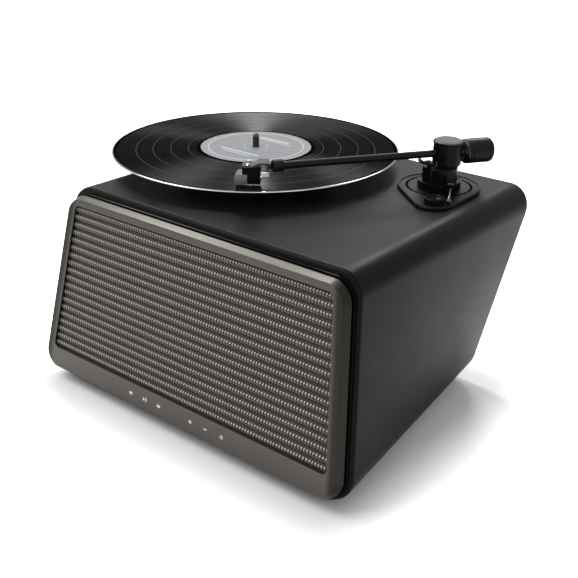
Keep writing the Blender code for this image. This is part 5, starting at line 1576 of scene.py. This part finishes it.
@dataclass
class Studio:
    """The floor, the white background, the lamps and the camera."""

    eye: Point = (0.566288, -0.689355, 0.4904)
    azimuth: float = 38.877
    elevation: float = 24.627
    roll: float = 0.744
    lens: float = 58.11
    sensor: float = 36.0
    clip: float = 0.01
    floor_half: float = 3.0
    floor_depth: float = 0.02
    world: float = 0.45
    lit_height: float = 0.12

    def build_floor(self) -> None:
        """Lays the pale floor, which is no part of the object."""
        half = self.floor_half
        outline = [(-half, -half), (half, -half), (half, half), (-half, half)]
        mesh = plates("floor", [outline], -self.floor_depth, 0)
        floor = bpy.data.objects.new("floor", mesh)
        bpy.context.scene.collection.objects.link(floor)
        mesh.materials.append(FLOOR.material())

    def build_world(self) -> None:
        """Makes a white background for the camera and for reflections, and soft light from it."""
        world = bpy.data.worlds.new("studio")
        world.use_nodes = True
        bpy.context.scene.world = world
        tree = world.node_tree
        background = tree.nodes["Background"]
        background.inputs["Color"].default_value = (1, 1, 1, 1)
        rays = tree.nodes.new("ShaderNodeLightPath")
        total = rays.outputs["Is Camera Ray"]
        for name in ("Is Glossy Ray", "Is Transmission Ray"):
            add = tree.nodes.new("ShaderNodeMath")
            add.use_clamp = True
            tree.links.new(total, add.inputs[0])
            tree.links.new(rays.outputs[name], add.inputs[1])
            total = add.outputs[0]
        strength = tree.nodes.new("ShaderNodeMapRange")
        strength.inputs["To Min"].default_value = self.world
        strength.inputs["To Max"].default_value = 1.0
        tree.links.new(total, strength.inputs["Value"])
        tree.links.new(strength.outputs[0], background.inputs["Strength"])

    def lamp(self, name: str, place: Point, size: Flat, power: float) -> None:
        """Hangs a rectangular soft lamp that faces the middle of the part.

        Args:
            name: the lamp's name.
            place: where it hangs.
            size: its width and height.
            power: its power in watts.
        """
        light = bpy.data.lights.new(name, "AREA")
        light.shape = "RECTANGLE"
        light.size, light.size_y = size
        light.energy = power
        obj = bpy.data.objects.new(name, light)
        bpy.context.scene.collection.objects.link(obj)
        obj.location = place
        aim = Vector((0, 0, self.lit_height)) - Vector(place)
        obj.rotation_euler = aim.to_track_quat("-Z", "Y").to_euler()

    def build_lamps(self) -> None:
        """Hangs the key, the fill, and four narrow lamps that streak the record and light the rear."""
        self.lamp("key", (-0.9, -1.0, 1.7), (1.3, 1.3), 26)
        self.lamp("fill", (1.5, -0.9, 1.1), (1.2, 1.2), 5)
        self.lamp("left", (-1.1, 0.45, 1.25), (0.20, 0.5), 4.5)
        self.lamp("streak_far", (-0.58, 0.62, 1.24), (0.09, 0.30), 9)
        self.lamp("streak_right", (-0.50, 1.01, 0.92), (0.15, 0.30), 1.0)
        self.lamp("rear_right", (-0.22, 1.06, 1.05), (0.20, 0.40), 5)

    def build_camera(self) -> None:
        """Sets the camera at the photograph's angle."""
        around, up, lean = (math.radians(angle) for angle in (self.azimuth, self.elevation, self.roll))
        right = Vector((math.cos(around), math.sin(around), 0))
        back = Vector((math.sin(around) * math.cos(up), -math.cos(around) * math.cos(up), math.sin(up)))
        top = back.cross(right)
        leant_right = right * math.cos(lean) + top * math.sin(lean)
        leant_top = top * math.cos(lean) - right * math.sin(lean)
        camera = bpy.data.cameras.new("camera")
        camera.lens = self.lens
        camera.sensor_width = self.sensor
        camera.clip_start = self.clip
        obj = bpy.data.objects.new("camera", camera)
        bpy.context.scene.collection.objects.link(obj)
        turn = Matrix((leant_right, leant_top, back)).transposed().to_4x4()
        obj.matrix_world = Matrix.Translation(self.eye) @ turn
        bpy.context.scene.camera = obj

    def build(self) -> None:
        """Sets up the whole studio."""
        self.build_floor()
        self.build_world()
        self.build_lamps()
        self.build_camera()
        bpy.context.scene.view_settings.view_transform = "Standard"


def main() -> None:
    """Builds the sub-assemblies in order, then the studio."""
    logging.basicConfig(level=logging.INFO, format="%(message)s")
    shop = Workshop(frame["nodes"])
    front = FrontPanel()
    front.build(shop)
    Cabinet().build(shop, front.face())
    for assembly in (Speakers(), Record(), Tower(), Arm(), Head(), Rear()):
        assembly.build(shop)
    Studio().build()
    LOG.info("%d pieces dressed", shop.count)


if __name__ == "__main__":
    main()
